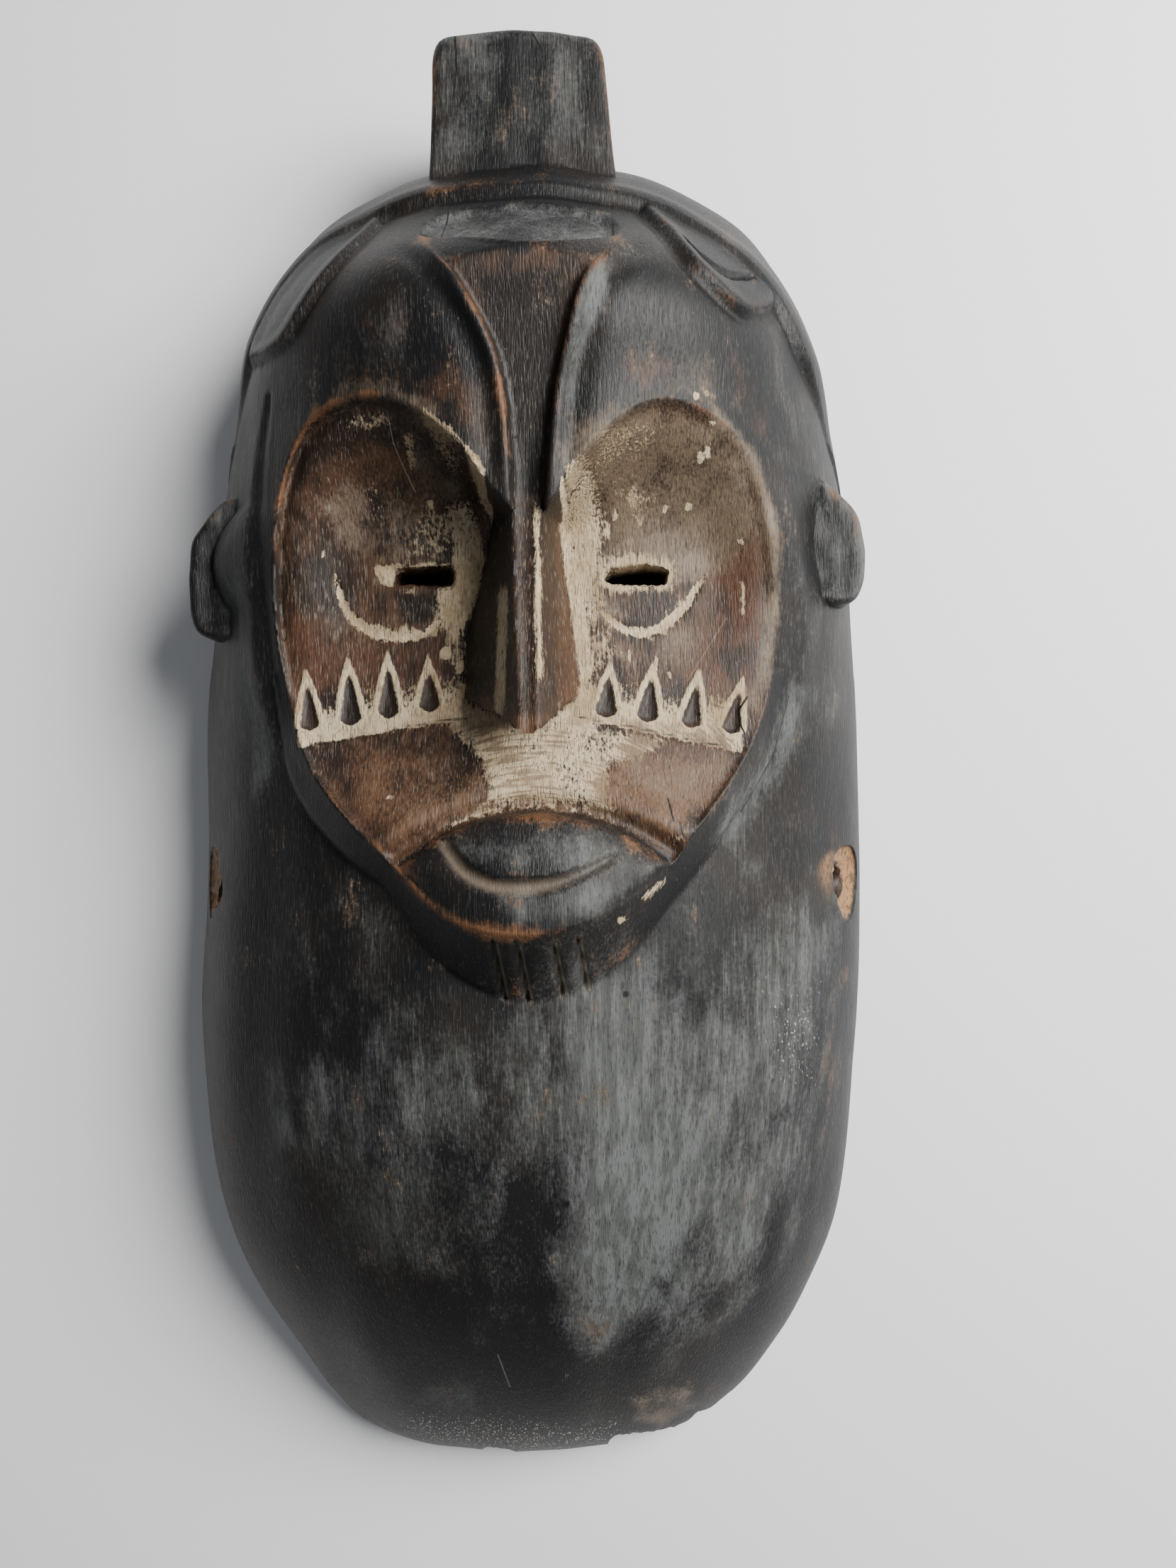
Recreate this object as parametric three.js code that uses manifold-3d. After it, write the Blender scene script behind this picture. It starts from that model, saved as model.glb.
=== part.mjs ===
// A carved wooden face mask with a long beard, lying face up on the flat rim of its hollow back.
// Millimetres. x runs to the right as the face is looked at, y towards the crest, z out of the face.
// It is cut from one block, so everything below is joined into one solid.

import * as THREE from 'three';
import { mergeVertices } from 'three/addons/utils/BufferGeometryUtils.js';
import Module from 'manifold-3d';

const wasm = await Module();
wasm.setup();

// Shell: how far it reaches along y, its half width at the rim and its height on the middle line.
const BEARD_END = -184.5;
const HEAD_END = 163.5;
const RIM_HALF_WIDTH = [
  [-178, 43.5], [-166, 58], [-150, 68.4], [-118, 83.3], [-73, 89.8], [-10, 89.6], [35, 87.8],
  [85, 82], [111, 75.2], [131, 68.2], [141, 62], [152, 48],
];
const MIDDLE_LINE = [
  [-180, -2.6], [-150, -1], [-90, -1.8], [-62, -1.6], [-20, 0], [20, 0.3], [55, 1.4], [158, 2],
];
const CROWN_HEIGHT = [
  [-176, 21], [-150, 43], [-118, 59.5], [-80, 70], [-50, 73], [-10, 72],
  [30, 80], [55, 85], [84, 86], [113, 86.5], [136, 61], [151, 44],
];

// Hollow behind: the same kind of form, plainer, which leaves the rim and the walls.
const RIM_WIDTH = 9;
const HOLLOW_HALF_WIDTH = [
  [-168, 36], [-150, 57], [-118, 73], [-73, 80], [-10, 80],
  [35, 78], [85, 72.5], [111, 65.5], [131, 55], [145, 34],
];
const HOLLOW_HEIGHT = [
  [-168, 17], [-118, 46], [-60, 60], [-10, 58], [25, 51], [52, 50], [85, 61], [110, 65], [138, 36],
];

// Face panel: its outline, and the height of its floor beside the nose and at its outer edge.
const FACE_MIDDLE = 2;
const FACE_OUTLINE = [
  [3, 58], [-3, 60], [-12.9, 73.6], [-24, 82], [-36, 84.5], [-48, 80], [-54.5, 66], [-56.5, 42], [-54, 24],
  [-49, 7], [-37, -8.5], [-26.5, -18.5], [-15, -28.5], [2, -31.5], [18, -28], [31.5, -19.5], [39.5, -9.5],
  [52.5, 8.5], [58, 24], [60, 42], [57, 64], [50, 77], [39, 82.5], [27, 80.5], [13.5, 68], [9, 60],
];
const FLOOR_BESIDE_NOSE = [
  [-32, 78], [-12, 75.5], [0, 71.5], [15, 66], [30, 63], [50, 61.5], [68, 66], [85, 73],
];
const FLOOR_AT_EDGE = [[-32, 72], [-12, 71], [0, 67], [15, 63], [30, 61], [50, 59], [68, 61.5], [85, 68]];
const FLOOR_NOSE_AT = 12;
const FLOOR_EDGE_AT = 52;

// Sockets: each is an oval bowl that curves up from its flat middle to a step below the shell. It is open
// towards the nose and the cheek, and its wall comes in over the ranges of SOCKET_WALL.
const LEFT_SOCKET = { middle: [-30, 44], radii: [26.5, 40], step: 3.6 };
const RIGHT_SOCKET = { middle: [34, 42], radii: [26.5, 40.5], step: 2 };
const SOCKET_FLAT = 0.4;
const SOCKET_WALL = { aside: [14, 34], up: [18, 45], brow: [58, 78] };

// Forehead panel: a long V that runs down into the nose.
const PANEL_OUTLINE = [
  [-20, 121], [-9, 116.5], [2, 113.5], [13, 115], [24, 120], [15.6, 106.2], [12, 95], [9.3, 84],
  [7.8, 70], [6, 55], [0, 55], [-0.8, 70], [-1.6, 82], [-4.1, 93], [-10.7, 105.5],
];
const PANEL_HEIGHT = [[50, 80], [70, 81], [84, 82.6], [100, 84.4], [112, 86.5], [124, 84]];
const PANEL_SINK = 0.2;

// Scoop: a shallow crescent between the top of the forehead panel and the hair.
const SCOOP_OUTLINE = [
  [-21, 121.5], [-10, 117.2], [2, 113.6], [13, 115.2], [23.6, 120.4], [20, 131], [2, 134.5], [-17, 132],
];
const SCOOP_DEPTH = 1.8;

// Nose: stations down its length, each with the feet and ridges along x and the height of the ridges.
const NOSE_FOOT_SINK = 1.5;
const NOSE_CREST = 0.3;
const NOSE_STATIONS = [
  { y: 84, foot: [-3, 9], ridge: [-1.6, 8], height: 82.2 },
  { y: 66, foot: [-5.5, 9.5], ridge: [-0.8, 6.8], height: 81 },
  { y: 50, foot: [-9, 10.5], ridge: [-0.7, 5.6], height: 84 },
  { y: 35, foot: [-12.5, 12.2], ridge: [-0.2, 5.5], height: 88.5 },
  { y: 20, foot: [-14.6, 14], ridge: [0.6, 5.6], height: 92.5 },
];
// The point of the nose, and how far each corner of the last station is drawn down towards it.
const NOSE_TIP = { x: 2.9, y: 11.6, height: 94, halfWidth: 1.6, narrowing: 0.9 };
const NOSE_PULL = [0.1, 0.1, 0.8, 1, 0.8, 0.1, 0.1];

// Mouth: an almond that swells out to the lower lip, with a groove across it.
const MOUTH_MIDDLE = 3;
const MOUTH_HALF_LENGTH = 29;
const LIP_TOP = { middle: -6, corner: -16, height: 79.5, cornerHeight: 72 };
const LIP_LOW = { middle: -31.5, corner: -19, height: 86.5, cornerHeight: 74 };
const LIP_SWELL = 2.2;
const SMILE_LINE = [
  [-16, -13], [-11.5, -18.3], [-5, -21.3], [2, -21.8], [8.5, -20.8], [14.5, -18.6], [20.4, -15.7],
];
const SMILE = { width: 3, depth: 1.6 };

// Jaw and chin: a bevel from the edge of the face down to the beard, with four short cuts under the lip.
const JAW_EDGE = [
  [-54.6, 27], [-49, 7], [-37, -8.5], [-26.5, -18.5], [-15, -28.5], [2, -31.5],
  [18, -28], [31.5, -19.5], [39.5, -9.5], [52.5, 8.5], [58.4, 26],
];
const JAW_FOOT = [
  [-58, 27], [-54, 2], [-42, -14], [-30, -24], [-17.5, -40], [1, -47.5],
  [20, -41.5], [34, -26], [44, -14], [57, 4], [61, 25],
];
const JAW = { footLift: 0.6, inward: 5, sink: 1.5 };
const CHIN_CUTS = [[-4.9, -39.5], [0.3, -39.6], [7.9, -39.3], [13.1, -38.6]];
const CHIN_CUT = { width: 1.8, length: 14, depth: 1.7, slope: 0.72, lean: -0.09, height: 78.7 };

// Hair: a raised band over the head with a lip towards the forehead, and two leaves below its ends.
const HAIRLINE = [
  [-62, 112], [-56.8, 120.5], [-46, 128.5], [-33, 133.5], [-16, 136], [4, 136.2], [22, 135],
  [36, 131.6], [49, 124.3], [60, 113.5], [66.5, 102],
];
// The band lies on the shell from the hairline outwards, at these shares of the height that it starts from.
const HAIR_BAND = { lift: 2.2, levels: [1, 0.94, 0.8, 0.55, 0.25], thickness: 6, reach: 60, middle: [0, 70] };
const HAIR_ENDS = { lift: 0.4, growth: 4 };
const HAIR_FADE = 0.9;
const HAIR_LEAN = 0.85;
const LEAVES = [
  [[-33.2, 129.5], [-38, 120], [-43, 111.5], [-50, 102], [-58.5, 103.5], [-61, 113], [-53, 124]],
  [[31, 130.5], [35.5, 119.5], [42, 110], [51, 104.8], [58, 108], [60.5, 114], [53, 122.5], [42, 130]],
];
const LEAF = { lift: 1.8, rings: [[0.55, 1], [0.93, 0.8]], edgeSink: 4, baseSink: 8 };

// Crest on the top of the head, ears on its sides.
const CREST_OUTLINE = [
  [-22, 138], [-21, 152], [-20.3, 168], [-20.2, 178.4], [-18.6, 181.4], [0.6, 182.8],
  [19, 181], [21, 178.2], [21.9, 168], [23.2, 152], [25, 138],
];
const CREST = { low: 21, high: 51, bevel: 1.4 };
const LEFT_EAR = [
  [-62, 71], [-73, 71.5], [-77.5, 66.5], [-81.5, 61], [-82.2, 52],
  [-82, 42.5], [-80.5, 38.2], [-77, 36.6], [-62, 38],
];
const RIGHT_EAR = [
  [62, 73], [72.5, 75], [78, 70], [82.2, 65.5], [83.9, 57], [83.6, 49], [81.5, 44], [78, 42.8], [62, 44.5],
];
const EAR = { low: 25, high: 46, bevel: 1.2 };

// Openings: the eye slits, and a cord hole through each side with a broken edge.
const EYE_SLITS = [{ from: [-30, 46.6], to: [-15.6, 51.4] }, { from: [19.4, 46.4], to: [34.4, 51.3] }];
const SLIT_LOW = 30;
const CORD_HOLE = { y: -25.5, z: 34, radius: 4.8, from: 50, to: 110 };
const HOLE_CHIP = { length: 19, depth: 3.4, height: 12, turn: 0.6, sink: 0.7, lower: 1.5 };

// Incised marks of the cheeks: a bow under each eye, a row of drops and the line that they stand on.
const EYE_BOWS = [
  [[-43, 48.5], [-41.5, 42.5], [-38, 37.6], [-31, 34.4], [-24, 35], [-18.5, 39]],
  [[18.5, 40], [23.5, 36], [30, 35], [36, 38.5], [40.5, 43.6], [43.6, 49]],
];
const EYE_BOW = { width: 2.2, depth: 0.9 };
// A groove starts this far above its surface, and narrows towards its ends.
const GROOVE = { over: 6, end: 0.12, taper: 0.6 };
const DROPS = [
  [-49.2, 18.2], [-39.6, 20], [-30.7, 21.3], [-21.2, 21.2],
  [19, 19.6], [28.8, 18.8], [39.3, 17.3], [48.9, 15.7],
];
const DROP = { halfWidth: 2.4, halfLength: 6.4, depth: 1.7, lift: 0.3 };

// Losses along the lower edge of the beard.
const EDGE_CHIPS = [
  { from: [18.8, -190], to: [44, -179.2], turn: 0.06 }, { from: [24.6, -184], to: [26, -177], turn: 0.1 },
  { from: [40, -188], to: [52, -174], turn: 0.25 }, { from: [-18, -190], to: [-13.5, -182.9], turn: 0 },
];

// How finely each surface is divided, and the plan that each block covers.
const SHELL_GRID = { across: 34, along: 54 };
const HOLLOW_GRID = { across: 14, along: 24 };
const FLOOR_BLOCK = { x: [-64, 68], y: [-40, 90], across: 22, along: 22 };
const PANEL_BLOCK = { x: [-26, 30], y: [50, 126], across: 8, along: 14 };
const SCOOP_BLOCK = { x: [-24, 27], y: [110, 138], across: 8, along: 6 };
const OUTLINE_STEPS = { face: 52, panel: 40, scoop: 24, leaf: 18 };

// Blocks reach up to TOP, joined pieces reach down to INSIDE, and neighbours overlap by OVERLAP.
const TOP = 120;
const INSIDE = 50;
const OVERLAP = 0.3;
const HOLLOW_SKIRT = 6;

// A sliver is thinner or has a shorter edge than this.
const SLIVER = { edge: 0.06, height: 0.012, passes: 12, each: 400 };

// The middle of its footprint, which is the origin.
const ORIGIN = { x: -1.2, y: -0.85 };

// Reads a smooth curve through rows of [position, value], level where the values turn back.
function profile(rows, position) {
  const last = rows.length - 1;
  const at = Math.min(Math.max(position, rows[0][0]), rows[last][0]);
  const chord = (i) => (rows[i + 1][1] - rows[i][1]) / (rows[i + 1][0] - rows[i][0]);
  const slope = (i) => {
    if (i === 0) return chord(0);
    if (i === last) return chord(last - 1);
    const before = chord(i - 1);
    const after = chord(i);
    return before * after > 0 ? (2 * before * after) / (before + after) : 0;
  };
  let i = 0;
  while (i < last - 1 && at > rows[i + 1][0]) i += 1;
  const span = rows[i + 1][0] - rows[i][0];
  const t = (at - rows[i][0]) / span;
  return (1 + 2 * t) * (1 - t) ** 2 * rows[i][1] + t * (1 - t) ** 2 * span * slope(i)
    + t * t * (3 - 2 * t) * rows[i + 1][1] + t * t * (t - 1) * span * slope(i + 1);
}

// A shell is a half ball whose width and height are swelled along its length to meet named sizes. It gives
// the place of a point of the half ball, its height over the plan, and how far out its side is at a height.
function makeShell(low, high, halfWidths, heights, middles) {
  const middle = (low + high) / 2;
  const reach = (high - low) / 2;
  const round = (y) => Math.sqrt(Math.max(1 - ((y - middle) / reach) ** 2, 0));
  const swell = (rows) => rows.map(([y, size]) => [y, size / round(y)]);
  const wide = swell(halfWidths);
  const tall = swell(heights);
  const place = (across, along, rise) => {
    const y = middle + reach * along;
    return [profile(middles, y) + across * profile(wide, y), y, rise * profile(tall, y)];
  };
  const height = (x, y) => {
    const out = (x - profile(middles, y)) / (round(y) * profile(wide, y));
    return Math.abs(out) < 1 ? round(y) * profile(tall, y) * Math.sqrt(1 - out * out) : 0;
  };
  const side = (y, z) => {
    const up = z / (round(y) * profile(tall, y));
    return round(y) * profile(wide, y) * Math.sqrt(1 - up * up);
  };
  return { place, height, side };
}

const shell = makeShell(BEARD_END, HEAD_END, RIM_HALF_WIDTH, CROWN_HEIGHT, MIDDLE_LINE);
const hollow = makeShell(
  BEARD_END + RIM_WIDTH, HEAD_END - RIM_WIDTH - 2, HOLLOW_HALF_WIDTH, HOLLOW_HEIGHT, MIDDLE_LINE,
);

// A closed solid from corner points and triangles, turned outwards if it is inside out.
function solidOf(points, triangles) {
  let volume = 0;
  for (const [a, b, c] of triangles) {
    const [p, q, r] = [a, b, c].map((corner) => new THREE.Vector3(...points[corner]));
    volume += p.dot(q.cross(r));
  }
  const outward = volume > 0 ? triangles : triangles.map(([a, b, c]) => [a, c, b]);
  return new wasm.Manifold(new wasm.Mesh({
    numProp: 3,
    vertProperties: new Float32Array(points.flat()),
    triVerts: new Uint32Array(outward.flat()),
  }));
}

function solidOfGeometry(geometry) {
  geometry.deleteAttribute('normal');
  geometry.deleteAttribute('uv');
  const merged = mergeVertices(geometry, 1e-4);
  return new wasm.Manifold(new wasm.Mesh({
    numProp: 3,
    vertProperties: new Float32Array(merged.attributes.position.array),
    triVerts: new Uint32Array(merged.index.array),
  }));
}

// The shell's grid: a square bent into a disc, and the disc raised into the half ball, closed below.
function domeSolid(form, grid, skirt) {
  const points = [];
  const triangles = [];
  const ring = [];
  const index = (i, j) => j * (grid.across + 1) + i;
  for (let j = 0; j <= grid.along; j += 1) {
    for (let i = 0; i <= grid.across; i += 1) {
      const u = (2 * i) / grid.across - 1;
      const v = (2 * j) / grid.along - 1;
      const a = u * Math.sqrt(1 - (v * v) / 2);
      const b = v * Math.sqrt(1 - (u * u) / 2);
      const out = Math.min(Math.hypot(a, b), 1);
      const spread = out > 0 ? Math.sin((out * Math.PI) / 2) / Math.hypot(a, b) : 0;
      const edge = i === 0 || j === 0 || i === grid.across || j === grid.along;
      const point = form.place(a * spread, b * spread, Math.cos((out * Math.PI) / 2));
      points.push(edge ? [point[0], point[1], 0] : point);
    }
  }
  for (let j = 0; j < grid.along; j += 1) {
    for (let i = 0; i < grid.across; i += 1) {
      const [p, q, r, s] = [index(i, j), index(i + 1, j), index(i + 1, j + 1), index(i, j + 1)];
      const falling = (i < grid.across / 2) === (j < grid.along / 2);
      triangles.push(...(falling ? [[p, q, s], [q, r, s]] : [[p, q, r], [p, r, s]]));
    }
  }
  for (let i = 0; i < grid.across; i += 1) ring.push(index(i, 0));
  for (let j = 0; j < grid.along; j += 1) ring.push(index(grid.across, j));
  for (let i = grid.across; i > 0; i -= 1) ring.push(index(i, grid.along));
  for (let j = grid.along; j > 0; j -= 1) ring.push(index(0, j));
  let base = ring;
  if (skirt > 0) {
    base = ring.map((p) => points.push([points[p][0], points[p][1], -skirt]) - 1);
    ring.forEach((p, k) => {
      const next = (k + 1) % ring.length;
      triangles.push([p, base[k], ring[next]], [base[k], base[next], ring[next]]);
    });
  }
  const centre = points.push([0, (BEARD_END + HEAD_END) / 2, -skirt]) - 1;
  base.forEach((p, k) => triangles.push([p, centre, base[(k + 1) % base.length]]));
  return solidOf(points, triangles);
}

// A block under a height function, over a rectangle of the plan.
function blockUnder(height, grid) {
  const [[x0, x1], [y0, y1]] = [grid.x, grid.y];
  const points = [];
  const triangles = [];
  const row = grid.across + 1;
  for (const top of [true, false]) {
    for (let j = 0; j <= grid.along; j += 1) {
      for (let i = 0; i <= grid.across; i += 1) {
        const x = x0 + ((x1 - x0) * i) / grid.across;
        const y = y0 + ((y1 - y0) * j) / grid.along;
        points.push([x, y, top ? height(x, y) : 0]);
      }
    }
  }
  const under = row * (grid.along + 1);
  const wall = (p, q) => triangles.push([p, p + under, q], [q, p + under, q + under]);
  for (let j = 0; j < grid.along; j += 1) {
    for (let i = 0; i < grid.across; i += 1) {
      const [p, q, r, s] = [j * row + i, j * row + i + 1, (j + 1) * row + i + 1, (j + 1) * row + i];
      for (const [a, b, c] of [[p, q, r], [p, r, s]]) {
        triangles.push([a, b, c], [a + under, c + under, b + under]);
      }
    }
  }
  for (let i = 0; i < grid.across; i += 1) {
    wall(i, i + 1);
    wall(grid.along * row + i + 1, grid.along * row + i);
  }
  for (let j = 0; j < grid.along; j += 1) {
    wall((j + 1) * row, j * row);
    wall(j * row + grid.across, (j + 1) * row + grid.across);
  }
  return solidOf(points, triangles);
}

// A solid through a run of cross sections, each a closed polygon with the same number of corners.
function loft(sections) {
  const count = sections[0].length;
  const triangles = [];
  const points = sections.flat();
  for (let s = 0; s + 1 < sections.length; s += 1) {
    for (let k = 0; k < count; k += 1) {
      const [p, q] = [s * count + k, s * count + ((k + 1) % count)];
      triangles.push([p, q, p + count], [q, q + count, p + count]);
    }
  }
  const last = (sections.length - 1) * count;
  for (let k = 1; k + 1 < count; k += 1) triangles.push([0, k + 1, k], [last, last + k, last + k + 1]);
  return solidOf(points, triangles);
}

const smooth = (rows, closed) => new THREE.CatmullRomCurve3(
  rows.map(([x, y, z = 0]) => new THREE.Vector3(x, y, z)), closed, 'centripetal',
);

// An upright block with a smooth outline, grown outwards by a margin.
function column(outline, steps, margin) {
  const curve = smooth(outline, true).getPoints(steps).slice(0, steps);
  const points = curve.map((p) => new THREE.Vector2(p.x, p.y));
  const turn = THREE.ShapeUtils.area(points) > 0 ? 1 : -1;
  const grown = points.map((p, k) => {
    const along = points[(k + 1) % steps].clone().sub(points[(k + steps - 1) % steps]).normalize();
    return new THREE.Vector2(p.x + turn * margin * along.y, p.y - turn * margin * along.x);
  });
  const shape = new THREE.Shape(grown);
  return solidOfGeometry(new THREE.ExtrudeGeometry(shape, { depth: TOP, bevelEnabled: false }));
}

// A flat piece with cut-off edges, as the crest and the ears are.
function slab(outline, { low, high, bevel }) {
  const shape = new THREE.Shape(outline.map(([x, y]) => new THREE.Vector2(x, y)));
  const cutOff = { bevelThickness: bevel, bevelSize: bevel, bevelOffset: -bevel, bevelSegments: 1 };
  const geometry = new THREE.ExtrudeGeometry(shape, { depth: high - low - 2 * bevel, ...cutOff });
  return solidOfGeometry(geometry.translate(0, 0, low + bevel));
}

// A round-bottomed groove that follows a line over a surface.
function groove(line, steps, width, depth, surface) {
  const route = smooth(line, false).getPoints(steps);
  const sections = route.map((p, k) => {
    const along = route[Math.min(k + 1, steps)].clone().sub(route[Math.max(k - 1, 0)]).normalize();
    const share = GROOVE.end + ((1 - 2 * GROOVE.end) * k) / steps;
    const half = (width / 2) * Math.sin(Math.PI * share) ** GROOVE.taper;
    const level = surface(p.x, p.y);
    return [[-1, GROOVE.over], [-1, 0], [0, -depth], [1, 0], [1, GROOVE.over]].map(([side, rise]) => (
      [p.x - along.y * half * side, p.y + along.x * half * side, level + rise]));
  });
  return loft(sections);
}

// A leaf is a raised pad with a given outline on a surface.
function pad(outline, steps, surface) {
  const curve = smooth(outline, true).getPoints(steps).slice(0, steps);
  const middle = curve.reduce((sum, p) => sum.add(p), new THREE.Vector3()).divideScalar(steps);
  const points = [];
  const triangles = [];
  for (const [share, rise] of [...LEAF.rings, [1, -LEAF.edgeSink / LEAF.lift]]) {
    for (const p of curve) {
      const x = middle.x + (p.x - middle.x) * share;
      const y = middle.y + (p.y - middle.y) * share;
      points.push([x, y, surface(x, y) + rise * LEAF.lift]);
    }
  }
  const top = points.push([middle.x, middle.y, surface(middle.x, middle.y) + LEAF.lift]) - 1;
  const base = points.push([middle.x, middle.y, surface(middle.x, middle.y) - LEAF.baseSink]) - 1;
  for (let k = 0; k < steps; k += 1) {
    const next = (k + 1) % steps;
    triangles.push([top, k, next], [base, 2 * steps + next, 2 * steps + k]);
    for (const ring of [0, steps]) {
      const [p, q] = [ring + k, ring + next];
      triangles.push([p, p + steps, q], [p + steps, q + steps, q]);
    }
  }
  return solidOf(points, triangles);
}

// The floor of the face: one curve beside the nose and one at the outer edge, mixed by the distance from
// the middle, and above and outside the eyes the bowls, which rise as the square of the way out.
function floorHeight(x, y) {
  const { smoothstep, clamp } = THREE.MathUtils;
  const aside = Math.abs(x - FACE_MIDDLE);
  const out = smoothstep(aside, FLOOR_NOSE_AT, FLOOR_EDGE_AT);
  const floor = (1 - out) * profile(FLOOR_BESIDE_NOSE, y) + out * profile(FLOOR_AT_EDGE, y);
  const { middle, radii, step } = x < FACE_MIDDLE ? LEFT_SOCKET : RIGHT_SOCKET;
  const away = Math.hypot((x - middle[0]) / radii[0], (y - middle[1]) / radii[1]);
  const rise = clamp((away - SOCKET_FLAT) / (1 - SOCKET_FLAT), 0, 1) ** 2;
  const beside = smoothstep(aside, ...SOCKET_WALL.aside) * smoothstep(y, ...SOCKET_WALL.up);
  const wall = Math.max(beside, smoothstep(y, ...SOCKET_WALL.brow));
  return floor + rise * wall * (shell.height(x, y) - step - floor);
}

function panelHeight(x, y) {
  return Math.min(profile(PANEL_HEIGHT, y), shell.height(x, y) - PANEL_SINK);
}

// The crescent is all that stands above the lowered shell inside its outline.
function makeScoop() {
  const rest = blockUnder((x, y) => shell.height(x, y) - SCOOP_DEPTH, SCOOP_BLOCK);
  return column(SCOOP_OUTLINE, OUTLINE_STEPS.scoop, 0).subtract(rest);
}

// A lip's edge is a parabola from its middle to its corners, in plan and in height.
function lipPoint(lip, x) {
  const out = ((x - MOUTH_MIDDLE) / MOUTH_HALF_LENGTH) ** 2;
  const mix = (middle, corner) => middle + (corner - middle) * out;
  return [x, mix(lip.middle, lip.corner), mix(lip.height, lip.cornerHeight)];
}

function lipHeight(x, y) {
  const upper = lipPoint(LIP_TOP, x);
  const lower = lipPoint(LIP_LOW, x);
  const t = THREE.MathUtils.clamp((y - upper[1]) / (lower[1] - upper[1]), 0, 1);
  return upper[2] + (lower[2] - upper[2]) * t + LIP_SWELL * Math.sin(Math.PI * t);
}

// The nose tapers up to the brow between two ridges, and ends below in a point.
function makeNose() {
  const footPoint = (x, y) => [x, y, floorHeight(x, y) - NOSE_FOOT_SINK];
  const section = ({ y, foot, ridge, height }) => [
    [foot[0], y, INSIDE], footPoint(foot[0], y), [ridge[0], y, height],
    [(ridge[0] + ridge[1]) / 2, y, height + NOSE_CREST], [ridge[1], y, height],
    footPoint(foot[1], y), [foot[1], y, INSIDE],
  ];
  const last = NOSE_STATIONS[NOSE_STATIONS.length - 1];
  const tip = section(last).map(([x, y, z], k) => {
    const onRidge = k > 1 && k < 5;
    const narrowed = (NOSE_TIP.x + (k - 3) * NOSE_TIP.halfWidth - x) * NOSE_TIP.narrowing;
    return [
      x + (onRidge ? narrowed : 0), y + (NOSE_TIP.y - y) * NOSE_PULL[k],
      z + (onRidge ? NOSE_TIP.height - last.height : 0),
    ];
  });
  return loft([...NOSE_STATIONS.map(section), tip]);
}

// The mouth is a run of upright sections from corner to corner, closest at the corners.
function makeMouth() {
  const steps = 14;
  const halfLength = MOUTH_HALF_LENGTH * 0.99;
  const sections = [];
  for (let k = 0; k <= steps; k += 1) {
    const x = MOUTH_MIDDLE - halfLength * Math.cos((Math.PI * k) / steps);
    const upper = lipPoint(LIP_TOP, x);
    const lower = lipPoint(LIP_LOW, x);
    const middle = (upper[1] + lower[1]) / 2;
    sections.push([
      [x, upper[1], INSIDE], upper, [x, middle, lipHeight(x, middle)], lower, [x, lower[1], INSIDE],
    ]);
  }
  return loft(sections);
}

// The face at its edge: the lower lip where there is one, and the cheek beside it.
function edgeHeight(x, y) {
  const lip = Math.abs(x - MOUTH_MIDDLE) < MOUTH_HALF_LENGTH && y < 0 ? lipPoint(LIP_LOW, x)[2] : 0;
  return Math.max(floorHeight(x, y), lip);
}

// The bevel of jaw and chin, between the edge of the face and a line on the beard.
function makeJaw() {
  const steps = 26;
  const edge = smooth(JAW_EDGE, false).getPoints(steps).map((p) => p.setZ(edgeHeight(p.x, p.y)));
  const foot = smooth(JAW_FOOT, false).getPoints(steps);
  return loft(edge.map((e, k) => {
    const f = foot[k];
    const inner = e.clone().sub(f).setZ(0).setLength(JAW.inward).add(e);
    return [
      [e.x, e.y, e.z], [f.x, f.y, shell.height(f.x, f.y) + JAW.footLift], [f.x, f.y, INSIDE],
      [inner.x, inner.y, INSIDE], [inner.x, inner.y, floorHeight(e.x, e.y) - JAW.sink],
    ];
  }));
}

// The hair is a cap that stands proud of the forehead in a lip, and runs down the outside of the head.
function makeHair() {
  const steps = 22;
  const line = smooth(HAIRLINE, false).getPoints(steps);
  const { lift, levels, thickness, reach } = HAIR_BAND;
  const middle = new THREE.Vector3(...HAIR_BAND.middle, 0);
  return loft(line.map((p, k) => {
    const out = p.clone().sub(middle).normalize();
    const start = shell.height(p.x, p.y);
    const rise = lift * Math.min(1, HAIR_ENDS.lift + HAIR_ENDS.growth * Math.sin((Math.PI * k) / steps));
    const ring = levels.map((level) => {
      let [near, far] = [0, reach];
      while (far - near > 1e-3) {
        const half = (near + far) / 2;
        if (shell.height(p.x + out.x * half, p.y + out.y * half) > level * start) near = half;
        else far = half;
      }
      const up = level * HAIR_LEAN;
      const way = out.clone().multiplyScalar(Math.sqrt(1 - up ** 2)).setZ(up);
      return { at: new THREE.Vector3(p.x + out.x * near, p.y + out.y * near, level * start), way };
    });
    const shifted = ({ at, way }, distance) => at.clone().addScaledVector(way, distance).toArray();
    const outside = ring.map((r, i) => shifted(r, rise * (1 - HAIR_FADE * (i / (ring.length - 1)) ** 2)));
    return [...outside, ...ring.map((r) => shifted(r, -thickness)).reverse()];
  }));
}

function box([x0, y0, z0], [x1, y1, z1]) {
  const geometry = new THREE.BoxGeometry(x1 - x0, y1 - y0, z1 - z0);
  return solidOfGeometry(geometry.translate((x0 + x1) / 2, (y0 + y1) / 2, (z0 + z1) / 2));
}

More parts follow.
